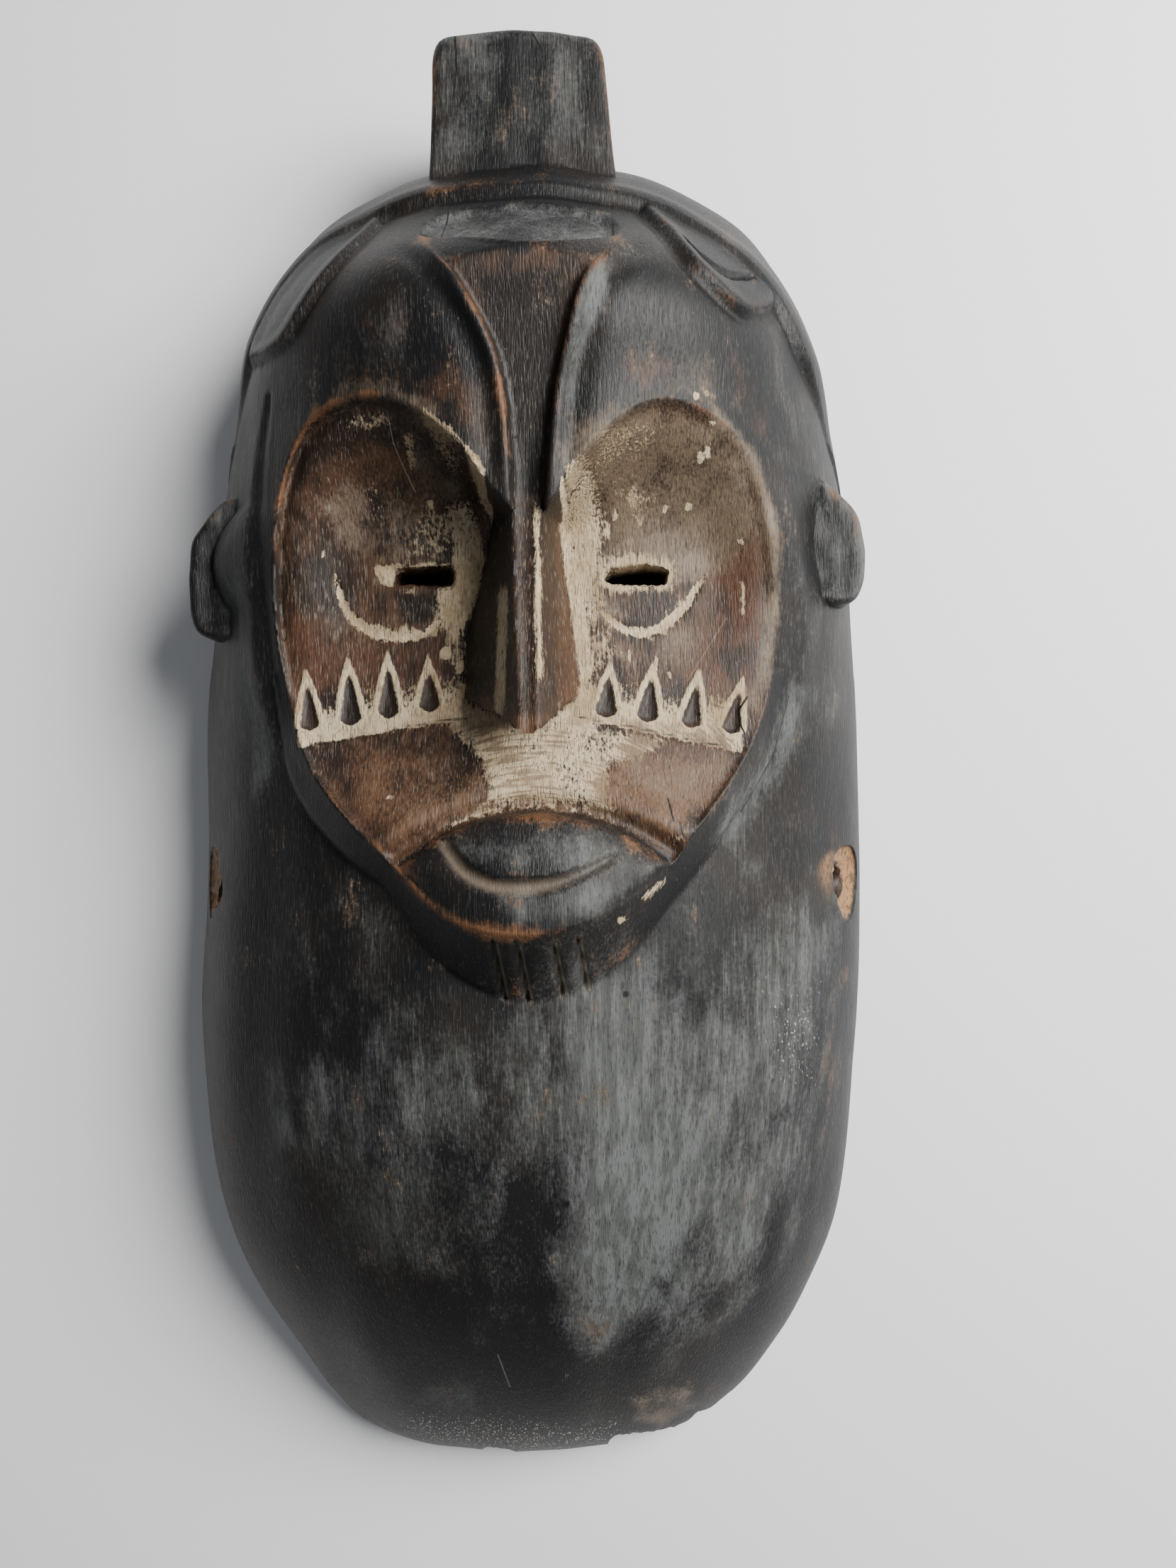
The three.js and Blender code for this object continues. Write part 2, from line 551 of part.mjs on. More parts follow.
// A hole drilled across, with a shallow broken hollow round its outer end.
function makeCordHole(side) {
  const { y, z, radius, from, to } = CORD_HOLE;
  const drill = new THREE.CylinderGeometry(radius, radius, to - from, 12).rotateZ(Math.PI / 2);
  const chip = new THREE.SphereGeometry(1, 10, 8);
  drill.translate((side * (from + to)) / 2, y, z);
  chip.scale(HOLE_CHIP.depth, HOLE_CHIP.length / 2, HOLE_CHIP.height / 2).rotateY(side * HOLE_CHIP.turn);
  chip.translate(side * (shell.side(y, z) - HOLE_CHIP.sink), y - HOLE_CHIP.lower, z);
  return solidOfGeometry(drill).add(solidOfGeometry(chip));
}

function makeChinCut([x, y]) {
  const { width, length, depth, slope, lean, height } = CHIN_CUT;
  const geometry = new THREE.CylinderGeometry(width / 2, width / 2, length, 6);
  geometry.scale(1, 1, (2 * depth) / width);
  geometry.rotateX(slope).rotateZ(lean).translate(x, y, height);
  return solidOfGeometry(geometry);
}

// A drop is a pointed shallow pit.
function makeDrop([x, y]) {
  const geometry = new THREE.OctahedronGeometry(1).scale(DROP.halfWidth, DROP.halfLength, DROP.depth);
  return solidOfGeometry(geometry.translate(x, y, floorHeight(x, y) + DROP.lift));
}

// A loss at the edge is an upright cut, turned a little about its first corner.
function makeChip({ from, to, turn }) {
  const [width, length] = [to[0] - from[0], to[1] - from[1]];
  const geometry = new THREE.BoxGeometry(width, length, TOP).translate(width / 2, -length / 2, 0);
  return solidOfGeometry(geometry.rotateZ(turn).translate(from[0], to[1], 0));
}

// The shell loses the face and the forehead panel, and gets their floors and all that stands proud of it.
// Then the hollow, the openings, the marks and the losses are cut.
function carve() {
  const sunk = (outline, steps, surface, block) => {
    const floor = blockUnder(surface, block).intersect(column(outline, steps, OVERLAP));
    return { opening: column(outline, steps, 0), floor };
  };
  const face = sunk(FACE_OUTLINE, OUTLINE_STEPS.face, floorHeight, FLOOR_BLOCK);
  const panel = sunk(PANEL_OUTLINE, OUTLINE_STEPS.panel, panelHeight, PANEL_BLOCK);
  const open = domeSolid(shell, SHELL_GRID, 0).subtract(face.opening).subtract(panel.opening);
  const added = [
    face.floor, panel.floor, makeNose(), makeMouth(), makeJaw(), makeHair(),
    slab(CREST_OUTLINE, CREST), slab(LEFT_EAR, EAR), slab(RIGHT_EAR, EAR),
    ...LEAVES.map((outline) => pad(outline, OUTLINE_STEPS.leaf, shell.height)),
  ];
  const removed = [
    domeSolid(hollow, HOLLOW_GRID, HOLLOW_SKIRT), makeCordHole(-1), makeCordHole(1), makeScoop(),
    ...EYE_SLITS.map(({ from, to }) => box([...from, SLIT_LOW], [...to, TOP])),
    groove(SMILE_LINE, 14, SMILE.width, SMILE.depth, lipHeight), ...CHIN_CUTS.map(makeChinCut),
    ...EYE_BOWS.map((line) => groove(line, 12, EYE_BOW.width, EYE_BOW.depth, floorHeight)),
    ...DROPS.map(makeDrop), ...EDGE_CHIPS.map(makeChip),
  ];
  const whole = added.reduce((sum, piece) => sum.add(piece), open);
  return removed.reduce((rest, tool) => rest.subtract(tool), whole);
}

// Cuts leave slivers where two surfaces nearly meet. A very short edge is drawn together into one point,
// and a flat sliver gives its longest edge to the triangle beyond, so that every face left is a real one.
function withoutSlivers(points, faces) {
  const at = points.map((p) => new THREE.Vector3(...p));
  let triangles = faces;
  const key = (a, b) => (a < b ? `${a} ${b}` : `${b} ${a}`);
  for (let pass = 0; pass < SLIVER.passes; pass += 1) {
    const users = points.map(() => new Set());
    const byEdge = new Map();
    triangles.forEach((t, n) => t.forEach((a, k) => {
      users[a].add(n);
      const edge = key(a, t[(k + 1) % 3]);
      byEdge.set(edge, [...(byEdge.get(edge) ?? []), n]);
    }));
    const around = (a) => new Set([...users[a]].flatMap((n) => triangles[n]).filter((b) => b !== a));
    const touched = new Set();
    const gone = new Map();
    const next = [...triangles];
    triangles.forEach((t, n) => {
      const sides = t.map((a, k) => at[a].distanceTo(at[t[(k + 1) % 3]]));
      const short = sides.indexOf(Math.min(...sides));
      const long = sides.indexOf(Math.max(...sides));
      const [a, b] = [t[short], t[(short + 1) % 3]];
      if (sides[short] < SLIVER.edge && gone.size < SLIVER.each) {
        const ring = new Set([...around(a), ...around(b), a, b]);
        const shared = [...around(a)].filter((c) => around(b).has(c));
        if (shared.length !== 2 || [...ring].some((c) => touched.has(c))) return;
        ring.forEach((c) => touched.add(c));
        gone.set(b, a);
        return;
      }
      const area = new THREE.Triangle(...t.map((c) => at[c])).getArea();
      if ((2 * area) / sides[long] > SLIVER.height) return;
      const [from, to, apex] = [t[long], t[(long + 1) % 3], t[(long + 2) % 3]];
      const other = byEdge.get(key(from, to)).find((m) => m !== n);
      const far = triangles[other].find((c) => c !== from && c !== to);
      const ring = [from, to, apex, far];
      if (byEdge.has(key(apex, far)) || ring.some((c) => touched.has(c))) return;
      ring.forEach((c) => touched.add(c));
      next[n] = [apex, from, far];
      next[other] = [to, apex, far];
    });
    const drawn = next.map((t) => t.map((a) => gone.get(a) ?? a));
    triangles = drawn.filter(([a, b, c]) => a !== b && b !== c && c !== a);
    if (touched.size === 0) break;
  }
  return triangles;
}

function geometryOf(solid) {
  const { vertProperties, triVerts } = solid.getMesh();
  const triple = (values, k) => [...values.slice(3 * k, 3 * k + 3)];
  const rows = (values) => Array.from({ length: values.length / 3 }, (_, k) => triple(values, k));
  const geometry = new THREE.BufferGeometry();
  geometry.setAttribute('position', new THREE.BufferAttribute(new Float32Array(vertProperties), 3));
  geometry.setIndex(withoutSlivers(rows(vertProperties), rows(triVerts)).flat());
  return geometry;
}

const wood = new THREE.MeshStandardMaterial({ color: 0x2b2724, roughness: 0.72, metalness: 0 });
const mask = new THREE.Mesh(geometryOf(carve()), wood);
mask.name = 'mask';
mask.position.set(-ORIGIN.x, -ORIGIN.y, 0);

const part = new THREE.Group();
part.add(mask);
export default part;
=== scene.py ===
"""A carved wooden face mask with a long beard, lying face up on the rim of its hollow back.

Shapes are worked out in carving millimetres: x to the right as the face is looked at, y towards the crest,
z out of the face. SHIFT moves them into the frame, which is in metres.
"""
import math

import bmesh
import bpy
import numpy as np
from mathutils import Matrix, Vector


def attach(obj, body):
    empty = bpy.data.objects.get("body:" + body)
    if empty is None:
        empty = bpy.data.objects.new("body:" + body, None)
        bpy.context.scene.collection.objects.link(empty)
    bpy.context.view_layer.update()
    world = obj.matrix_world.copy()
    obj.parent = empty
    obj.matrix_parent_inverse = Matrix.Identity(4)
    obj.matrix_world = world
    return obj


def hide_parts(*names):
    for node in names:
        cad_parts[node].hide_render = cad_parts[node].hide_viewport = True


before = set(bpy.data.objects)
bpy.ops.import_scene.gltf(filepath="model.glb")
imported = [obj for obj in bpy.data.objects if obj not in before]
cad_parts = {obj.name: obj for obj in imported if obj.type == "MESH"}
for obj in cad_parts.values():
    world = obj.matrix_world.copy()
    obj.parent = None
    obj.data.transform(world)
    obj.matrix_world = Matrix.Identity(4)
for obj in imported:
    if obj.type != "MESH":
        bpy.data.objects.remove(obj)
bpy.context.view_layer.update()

# A millimetre in metres, and how far the carving is moved into the frame, in millimetres.
MM = 0.001
SHIFT = np.array([1.2, 0.85, 0.0])

# Camera: its place over the floor, its turn in degrees, and the width of the floor that it sees and of its
# sensor, in millimetres.
CAMERA_AT = (16.2, 0.85, 334.0)
CAMERA_TURN = -0.8
CAMERA_FIELD = 333.1
SENSOR = 36.0

# Shell: how far it reaches along y, its half width at the rim and its height on the middle line.
BEARD_END = -184.5
HEAD_END = 163.5
RIM_HALF_WIDTH = [
    (-178, 43.5), (-166, 58), (-150, 68.4), (-118, 83.3), (-73, 89.8), (-10, 89.6), (35, 87.8), (85, 82),
    (111, 75.2), (131, 68.2), (141, 62), (152, 48),
]
MIDDLE_LINE = [(-180, -2.6), (-150, -1), (-90, -1.8), (-62, -1.6), (-20, 0), (20, 0.3), (55, 1.4), (158, 2)]
CROWN_HEIGHT = [
    (-176, 21), (-150, 43), (-118, 59.5), (-80, 70), (-50, 73), (-10, 72), (30, 80), (55, 85), (84, 86),
    (113, 86.5), (136, 61), (151, 44),
]
RIM_WIDTH = 9
HOLLOW_HALF_WIDTH = [
    (-168, 36), (-150, 57), (-118, 73), (-73, 80), (-10, 80), (35, 78), (85, 72.5), (111, 65.5), (131, 55),
    (145, 34),
]
HOLLOW_HEIGHT = [
    (-168, 17), (-118, 46), (-60, 60), (-10, 58), (25, 51), (52, 50), (85, 61), (110, 65), (138, 36),
]

# Face panel: its outline, and the height of its floor beside the nose and at its outer edge.
FACE_MIDDLE = 2
FACE_OUTLINE = [
    (3, 58), (-3, 60), (-12.9, 73.6), (-24, 82), (-36, 84.5), (-48, 80), (-54.5, 66), (-56.5, 42),
    (-54, 24), (-49, 7), (-37, -8.5), (-26.5, -18.5), (-15, -28.5), (2, -31.5), (18, -28), (31.5, -19.5),
    (39.5, -9.5), (52.5, 8.5), (58, 24), (60, 42), (57, 64), (50, 77), (39, 82.5), (27, 80.5), (13.5, 68),
    (9, 60),
]
FLOOR_BESIDE_NOSE = [(-32, 78), (-12, 75.5), (0, 71.5), (15, 66), (30, 63), (50, 61.5), (68, 66), (85, 73)]
FLOOR_AT_EDGE = [(-32, 72), (-12, 71), (0, 67), (15, 63), (30, 61), (50, 59), (68, 61.5), (85, 68)]
FLOOR_NOSE_AT = 12
FLOOR_EDGE_AT = 52

# Sockets: each is an oval bowl, whose rim stays a step below the shell, and the inner share of it is flat.
SOCKETS = [
    {"middle": (-30, 44), "radii": (26.5, 40), "step": 3.6},
    {"middle": (34, 42), "radii": (26.5, 40.5), "step": 2.0},
]
SOCKET_FLAT = 0.4

# Forehead panel: a long V that runs down into the nose, its height, and how far it stays below the shell.
PANEL_OUTLINE = [
    (-20, 121), (-9, 116.5), (2, 113.5), (13, 115), (24, 120), (15.6, 106.2), (12, 95), (9.3, 84),
    (7.8, 70), (6, 55), (0, 55), (-0.8, 70), (-1.6, 82), (-4.1, 93), (-10.7, 105.5),
]
PANEL_HEIGHT = [(50, 80), (70, 81), (84, 82.6), (100, 84.4), (112, 86.5), (124, 84)]
PANEL_SINK = 0.2

# Nose: rows of y, left foot, left ridge, right ridge, right foot and the height of the ridges. Then the
# lower edge of its base from foot to foot, the height of its tip and how far that hangs over, how far its
# feet go below the floor of the face, and how proud the beads on its arrises are.
NOSE_ROWS = [
    (20, -14.6, 0.6, 5.6, 14.0, 92.5), (35, -12.5, -0.2, 5.5, 12.2, 88.5),
    (50, -9.0, -0.7, 5.6, 10.5, 84.0), (66, -5.5, -0.8, 6.8, 9.5, 81.0), (84, -3.0, -1.6, 8.0, 9.0, 82.2),
]
NOSE_BASE = [
    (-14.6, 19.8), (-8.8, 18.8), (-2.6, 17.6), (1.2, 16.5), (3.1, 15.9), (5.2, 16.6), (8.2, 18.0),
    (11, 19.2), (14.2, 21.0),
]
NOSE_TIP_HEIGHT = 94
NOSE_OVERHANG = 6.4
NOSE_FOOT_SINK = 1.5
NOSE_BEAD = 0.35

# Mouth: an almond that swells out to the lower lip, with a groove across it.
MOUTH_MIDDLE = 3
MOUTH_HALF_LENGTH = 29
LIP_TOP = {"middle": -6, "corner": -16, "height": 79.5, "corner_height": 72}
LIP_LOW = {"middle": -31.5, "corner": -19, "height": 86.5, "corner_height": 74}
LIP_SWELL = 2.2
SMILE_LINE = [
    (-16, -13), (-11.5, -18.3), (-5, -21.3), (2, -21.8), (8.5, -20.8), (14.5, -18.6), (20.4, -15.7),
]
SMILE = {"half_width": 1.7, "depth": 1.8}

# Jaw and chin: a bevel from the edge of the face down to the beard, with four short cuts under the lip.
JAW_EDGE = [
    (-54.6, 27), (-49, 7), (-37, -8.5), (-26.5, -18.5), (-15, -28.5), (2, -31.5), (18, -28), (31.5, -19.5),
    (39.5, -9.5), (52.5, 8.5), (58.4, 26),
]
JAW_FOOT = [
    (-58, 27), (-54, 2), (-42, -14), (-30, -24), (-17.5, -40), (1, -47.5), (20, -41.5), (34, -26),
    (44, -14), (57, 4), (61, 25),
]
JAW_FOOT_LIFT = 0.6
CHIN_CUTS = [
    ((-5.7, -33.0), (-4.1, -47.6)), ((-0.6, -33.3), (1.1, -47.8)), ((6.9, -33.0), (8.8, -47.4)),
    ((12.3, -32.6), (13.9, -46.4)),
]
CHIN_CUT = {"half_width": 1.5, "depth": 2.2, "taper": 0.4}

# Hair: a raised band over the head with a lip towards the forehead, which runs on down both sides.
HAIRLINE = [
    (-74.5, 90), (-70, 99), (-62, 112), (-56.8, 120.5), (-46, 128.5), (-33, 133.5), (-16, 136), (4, 136.2),
    (22, 135), (36, 131.6), (49, 124.3), (60, 113.5), (66.5, 102), (72, 94), (77, 86),
]
HAIR_LIFT = 2.2

# Crest on the top of the head, ears on its sides.
CREST_OUTLINE = [
    (-22, 138), (-21, 152), (-20.3, 168), (-20.2, 178.4), (-18.6, 181.4), (0.6, 182.8), (19, 181),
    (21, 178.2), (21.9, 168), (23.2, 152), (25, 138),
]
CREST_LEVELS = (21, 51)
EAR_OUTLINES = [
    [(-62, 71), (-73, 71.5), (-77.5, 66.5), (-81.5, 61), (-82.2, 52), (-82, 42.5), (-80.5, 38.2),
     (-77, 36.6), (-62, 38)],
    [(62, 73), (72.5, 75), (78, 70), (82.2, 65.5), (83.9, 57), (83.6, 49), (81.5, 44), (78, 42.8),
     (62, 44.5)],
]
EAR_LEVELS = (25, 46)
# The head swells out in front of the left ear and is cut back in front of the right one: the side, the
# middle and half length along y, the height and the spread over it, and how proud.
EAR_SWELLS = [
    {"side": -1, "y": 55.5, "half_length": 12.0, "z": 45, "width": 11, "proud": 4.4},
    {"side": 1, "y": 58.0, "half_length": 15.0, "z": 48, "width": 7, "proud": -2.8},
]

# Eye slits: their outlines at the floor of the face, how far they open out at each level, and the sunk frame
# at the outer end of the left one.
SLIT_OUTLINES = [
    [(-29.3, 48.2), (-29.0, 49.5), (-27.3, 50.2), (-23.7, 50.3), (-19.4, 50.6), (-16.3, 50.4),
     (-15.6, 49.0), (-16.2, 46.9), (-19.5, 46.4), (-24.9, 46.8), (-28.7, 47.0)],
    [(19.3, 47.9), (21.2, 49.4), (24.8, 49.9), (28.5, 50.5), (32.1, 50.1), (34.1, 49.4), (34.3, 48.0),
     (33.3, 46.1), (29.6, 46.0), (24.8, 46.0), (21.7, 46.3), (20.3, 46.7)],
]
SLIT_LEVELS = [
    (40, 0.5), (52, -0.1), (57, -0.35), (59.4, -0.15), (60.6, 0.25), (61.6, 0.8), (63, 1.6), (66, 3.4),
]
LEFT_SLIT_FRAME = {"from": -34.0, "to": -28.6, "low": 46.8, "high": 51.2, "depth": 1.3}

# Cord holes: drilled across, and broken out round their outer ends.
CORD_HOLE = {"y": -25.6, "z": 33.0, "radius": 4.7, "from": 50, "to": 100}
HOLE_CHIPS = [
    {"side": -1, "ends": (-34.0, -14.5), "z": 29.5, "half_height": 8.5, "depth": 3.0},
    {"side": 1, "ends": (-37.6, -16.6), "z": 31.0, "half_height": 13.0, "depth": 3.7},
]

# Losses along the lower edge of the beard: how far their sides lean in with the height, and their outlines
# from above.
LOSS_LEAN = 0.54
EDGE_LOSSES = [
    [(17.2, -196), (17.6, -186.4), (18.7, -185.0), (19.9, -183.8), (22.6, -184.0), (24.9, -184.0),
     (25.7, -182.6), (27.0, -183.9), (29.5, -183.2), (32.8, -182.8), (37.2, -181.8), (40.5, -180.2),
     (42.5, -177.4), (43.9, -178.4), (47.3, -176.3), (50.8, -173.4), (56, -170), (60, -196)],
    [(-16.9, -196), (-16.7, -187.9), (-15, -187.0), (-12, -187.1), (-6, -188.2), (-4, -189.5), (-4, -196)],
]


def ramp(low, high, value):
    """0 below low, 1 above high, and between them t*t*(3 - 2t) of the way t."""
    t = np.clip((value - low) / (high - low), 0, 1)
    return t * t * (3 - 2 * t)


def larger(a, b, soft):
    """The larger of a and b, with the crease rounded over a height of about soft."""
    return (a + b + np.sqrt((a - b) ** 2 + soft * soft)) / 2


def smaller(a, b, soft):
    """The smaller of a and b, with the crease rounded over a height of about soft."""
    return (a + b - np.sqrt((a - b) ** 2 + soft * soft)) / 2


def bell(value, width):
    """A round bump exp(-(value / width)^2)."""
    return np.exp(-(value / width) ** 2)


def profile(rows, at):
    """A smooth curve through (position, value) rows: cubic pieces with the harmonic mean of the slopes on
    each side of a row, level where the values turn back, and held at the end values outside."""
    places, values = np.array(rows, float).T
    chords = np.diff(values) / np.diff(places)
    slopes = np.empty(len(places))
    slopes[0], slopes[-1] = chords[0], chords[-1]
    product = chords[:-1] * chords[1:]
    total = chords[:-1] + chords[1:]
    slopes[1:-1] = np.where(product > 0, 2 * product / np.where(product > 0, total, 1), 0)
    at = np.clip(at, places[0], places[-1])
    i = np.clip(np.searchsorted(places, at) - 1, 0, len(places) - 2)
    span = places[i + 1] - places[i]
    t = (at - places[i]) / span
    return ((1 + 2 * t) * (1 - t) ** 2 * values[i] + t * (1 - t) ** 2 * span * slopes[i]
            + t * t * (3 - 2 * t) * values[i + 1] + t * t * (t - 1) * span * slopes[i + 1])


def flow(points, closed=False, steps=8):
    """A smooth line through a few points: on each stretch the cubic whose slope at a point is half the
    chord between its neighbours."""
    p = np.array(points, float)
    if closed:
        p = np.vstack([p[-1], p, p[:2]])
    else:
        p = np.vstack([2 * p[0] - p[1], p, 2 * p[-1] - p[-2]])
    t = np.linspace(0, 1, steps, endpoint=False)[None, :, None]
    a, b, c, d = (p[k:len(p) - 3 + k, None, :] for k in range(4))
    line = 0.5 * (2 * b + (c - a) * t + (2 * a - 5 * b + 4 * c - d) * t ** 2
                  + (3 * b - a - 3 * c + d) * t ** 3)
    line = line.reshape(-1, p.shape[1])
    return line if closed else np.vstack([line, p[-2]])


def reach(x, y, line, limit=12.0):
    """Distance from each point to a line, how far along the line the nearest place is (0 to 1), and on
    which side (1 on its left, -1 on its right). Points further than limit from the line's box get limit, 0
    and 1."""
    low, high = line.min(0) - limit, line.max(0) + limit
    near = (x > low[0]) & (x < high[0]) & (y > low[1]) & (y < high[1])
    px, py = x[near], y[near]
    steps = np.diff(line, axis=0)
    lengths = np.hypot(steps[:, 0], steps[:, 1])
    starts = np.concatenate([[0], np.cumsum(lengths)])
    best = np.full(px.shape, limit, float)
    along = np.zeros(px.shape)
    side = np.ones(px.shape)
    for a, s, length, start in zip(line[:-1], steps, lengths, starts):
        if length == 0:
            continue
        dx, dy = px - a[0], py - a[1]
        t = np.clip((dx * s[0] + dy * s[1]) / length ** 2, 0, 1)
        away = np.hypot(dx - t * s[0], dy - t * s[1])
        closer = away < best
        best = np.where(closer, away, best)
        along = np.where(closer, (start + t * length) / starts[-1], along)
        side = np.where(closer, np.where(s[0] * dy - s[1] * dx >= 0, 1.0, -1.0), side)
    result = np.full(x.shape, limit, float), np.zeros(x.shape), np.ones(x.shape)
    for whole, part in zip(result, (best, along, side)):
        whole[near] = part
    return result


def gather(x, y, line, radius=3.2, pull=0.62):
    """Draws the points near a line towards it, by pull * (1 - distance / radius)^2 of the way, so that a
    wall along the line is made of close and even cells."""
    away, along, _ = reach(x, y, line, radius)
    run = np.concatenate([[0], np.cumsum(np.hypot(*np.diff(line, axis=0).T))])
    share = pull * np.clip(1 - away / radius, 0, 1) ** 2
    return (x + (np.interp(along, run / run[-1], line[:, 0]) - x) * share,
            y + (np.interp(along, run / run[-1], line[:, 1]) - y) * share)


def inside(x, y, outline, limit=12.0):
    """Distance from each point to a closed outline, positive inside and negative outside, up to limit."""
    ring = np.vstack([outline, outline[:1]])
    within = np.zeros(x.shape, bool)
    for a, b in zip(ring[:-1], ring[1:]):
        if a[1] == b[1]:
            continue
        crosses = (a[1] > y) != (b[1] > y)
        within ^= crosses & (x < (b[0] - a[0]) * (y - a[1]) / (b[1] - a[1]) + a[0])
    away = reach(x, y, ring, limit)[0]
    return np.where(within, away, -away)


def inside_smooth(x, y, outline, limit=12.0):
    """The same distance, to the smooth closed line through a few points."""
    return inside(x, y, flow(outline, closed=True), limit)


def waves(x, y, size, seed, stretch=1.0):
    """Smooth unevenness between about -1 and 1: a sum of twelve sine waves of about the given size, in
    directions and phases drawn from the seed, drawn out along y by stretch."""
    draw = np.random.default_rng(seed)
    total = np.zeros(np.shape(x))
    for _ in range(12):
        angle, phase = draw.uniform(0, 2 * math.pi, 2)
        pitch = 2 * math.pi / (size * draw.uniform(0.7, 1.6))
        total += np.sin(pitch * (x * math.cos(angle) + y * math.sin(angle) / stretch) + phase)
    return total / 4


class Shell:
    """A half ball swelled along its length. At y its rim is W(y) wide each side of the middle line and its
    crown is H(y) high; each is stored divided by r = sqrt(1 - s^2), where s runs from -1 at one end to 1 at
    the other."""

    def __init__(self, low, high, half_widths, heights):
        self.middle = (low + high) / 2
        self.reach = (high - low) / 2
        self.wide = [(y, w / self.roundness(y)) for y, w in half_widths]
        self.tall = [(y, h / self.roundness(y)) for y, h in heights]

    def roundness(self, y):
        """sqrt(1 - s^2), where s runs from -1 at one end to 1 at the other."""
        return np.sqrt(np.maximum(1 - ((y - self.middle) / self.reach) ** 2, 0))

    def surface(self, across, along):
        """Points of the half ball: the square (across, along) bent into a disc, and the disc's distance
        from its centre taken as an angle, so that its sine leads outwards and its cosine upwards."""
        a = across * np.sqrt(1 - along ** 2 / 2)
        b = along * np.sqrt(1 - across ** 2 / 2)
        out = np.clip(np.hypot(a, b), 0, 1)
        spread = np.sin(out * math.pi / 2) / np.maximum(out, 1e-9)
        rise = np.where(out > 1 - 1e-9, 0, np.cos(out * math.pi / 2))
        y = self.middle + self.reach * b * spread
        x = profile(MIDDLE_LINE, y) + a * spread * profile(self.wide, y)
        return np.stack([x, y, rise * profile(self.tall, y)], -1)

    def side(self, y, z):
        """How far out the side of the shell is at a height: W(y) * sqrt(1 - (z / H(y))^2)."""
        r = self.roundness(y)
        return r * profile(self.wide, y) * np.sqrt(np.maximum(1 - (z / (r * profile(self.tall, y))) ** 2, 0))

    def height(self, x, y):
        """H(y) * sqrt(1 - ((x - middle) / W(y))^2), and 0 outside the rim."""
        r = self.roundness(y)
        out = (x - profile(MIDDLE_LINE, y)) / np.maximum(r * profile(self.wide, y), 1e-9)
        return r * profile(self.tall, y) * np.sqrt(np.maximum(1 - out ** 2, 0))


OUTSIDE = Shell(BEARD_END, HEAD_END, RIM_HALF_WIDTH, CROWN_HEIGHT)
HOLLOW = Shell(BEARD_END + RIM_WIDTH, HEAD_END - RIM_WIDTH - 2, HOLLOW_HALF_WIDTH, HOLLOW_HEIGHT)


def spaced(count, spacing):
    """Numbers from -1 to 1 whose steps are in proportion to spacing(number)."""
    t = np.linspace(-1, 1, 4001)
    speed = 1 / spacing(t)
    run = np.concatenate([[0], np.cumsum((speed[1:] + speed[:-1]) / 2)])
    return np.interp(np.linspace(0, run[-1], count), run, t)


def unit(vectors):
    """Vectors divided by their lengths."""
    return vectors / np.maximum(np.linalg.norm(vectors, axis=-1, keepdims=True), 1e-12)


def grid_normals(points):
    """Outward normals of a grid of points: the cross product of its two central differences."""
    return unit(np.cross(np.gradient(points, axis=1), np.gradient(points, axis=0)))


def socket_bowl(x, y, middle, radii):
    """0 over the flat middle of a socket's bowl, and the square of the way out from there to its rim."""
    out = np.hypot((x - middle[0]) / radii[0], (y - middle[1]) / radii[1])
    return np.clip((out - SOCKET_FLAT) / (1 - SOCKET_FLAT), 0, 1) ** 2


def floor_height(x, y):
    """Floor of the face: one curve along y beside the nose, one at the outer edge, mixed by |x - middle|.
    Above and outside the eyes it curves up to just below the shell, as the square of the way from the
    bowl's flat middle."""
    aside = np.abs(x - FACE_MIDDLE)
    out = ramp(FLOOR_NOSE_AT, FLOOR_EDGE_AT, aside)
    floor = (1 - out) * profile(FLOOR_BESIDE_NOSE, y) + out * profile(FLOOR_AT_EDGE, y)
    left, right = (socket_bowl(x, y, socket["middle"], socket["radii"]) for socket in SOCKETS)
    open_side = np.maximum(ramp(14, 34, aside) * ramp(18, 45, y), ramp(58, 78, y))
    step = np.where(x < FACE_MIDDLE, SOCKETS[0]["step"], SOCKETS[1]["step"])
    rise = np.where(x < FACE_MIDDLE, left, right) * open_side
    return floor + rise * (OUTSIDE.height(x, y) - step - floor)


def lip_edge(lip, x):
    """The y and the height of a lip's edge at x: parabolas from the middle value to the corner value."""
    out = ((x - MOUTH_MIDDLE) / MOUTH_HALF_LENGTH) ** 2
    return (lip["middle"] + (lip["corner"] - lip["middle"]) * out,
            lip["height"] + (lip["corner_height"] - lip["height"]) * out)


def lip_height(x, y):
    """A straight line from the upper edge to the lower one, with a swell of sin(pi t) between."""
    upper_y, upper_z = lip_edge(LIP_TOP, x)
    lower_y, lower_z = lip_edge(LIP_LOW, x)
    t = np.clip((y - upper_y) / (lower_y - upper_y), 0, 1)
    return upper_z + (lower_z - upper_z) * t + LIP_SWELL * np.sin(math.pi * t)


def mouth_outline(lower_by=0.0):
    """The almond: the upper edge from corner to corner, and the lower one back, moved down by lower_by."""
    x = MOUTH_MIDDLE + (MOUTH_HALF_LENGTH + 1) * np.sin(np.linspace(-math.pi / 2, math.pi / 2, 40))
    upper = np.stack([x, lip_edge(LIP_TOP, x)[0]], -1)
    lower = np.stack([x, lip_edge(LIP_LOW, x)[0] - lower_by], -1)
    return np.vstack([upper, lower[::-1]])


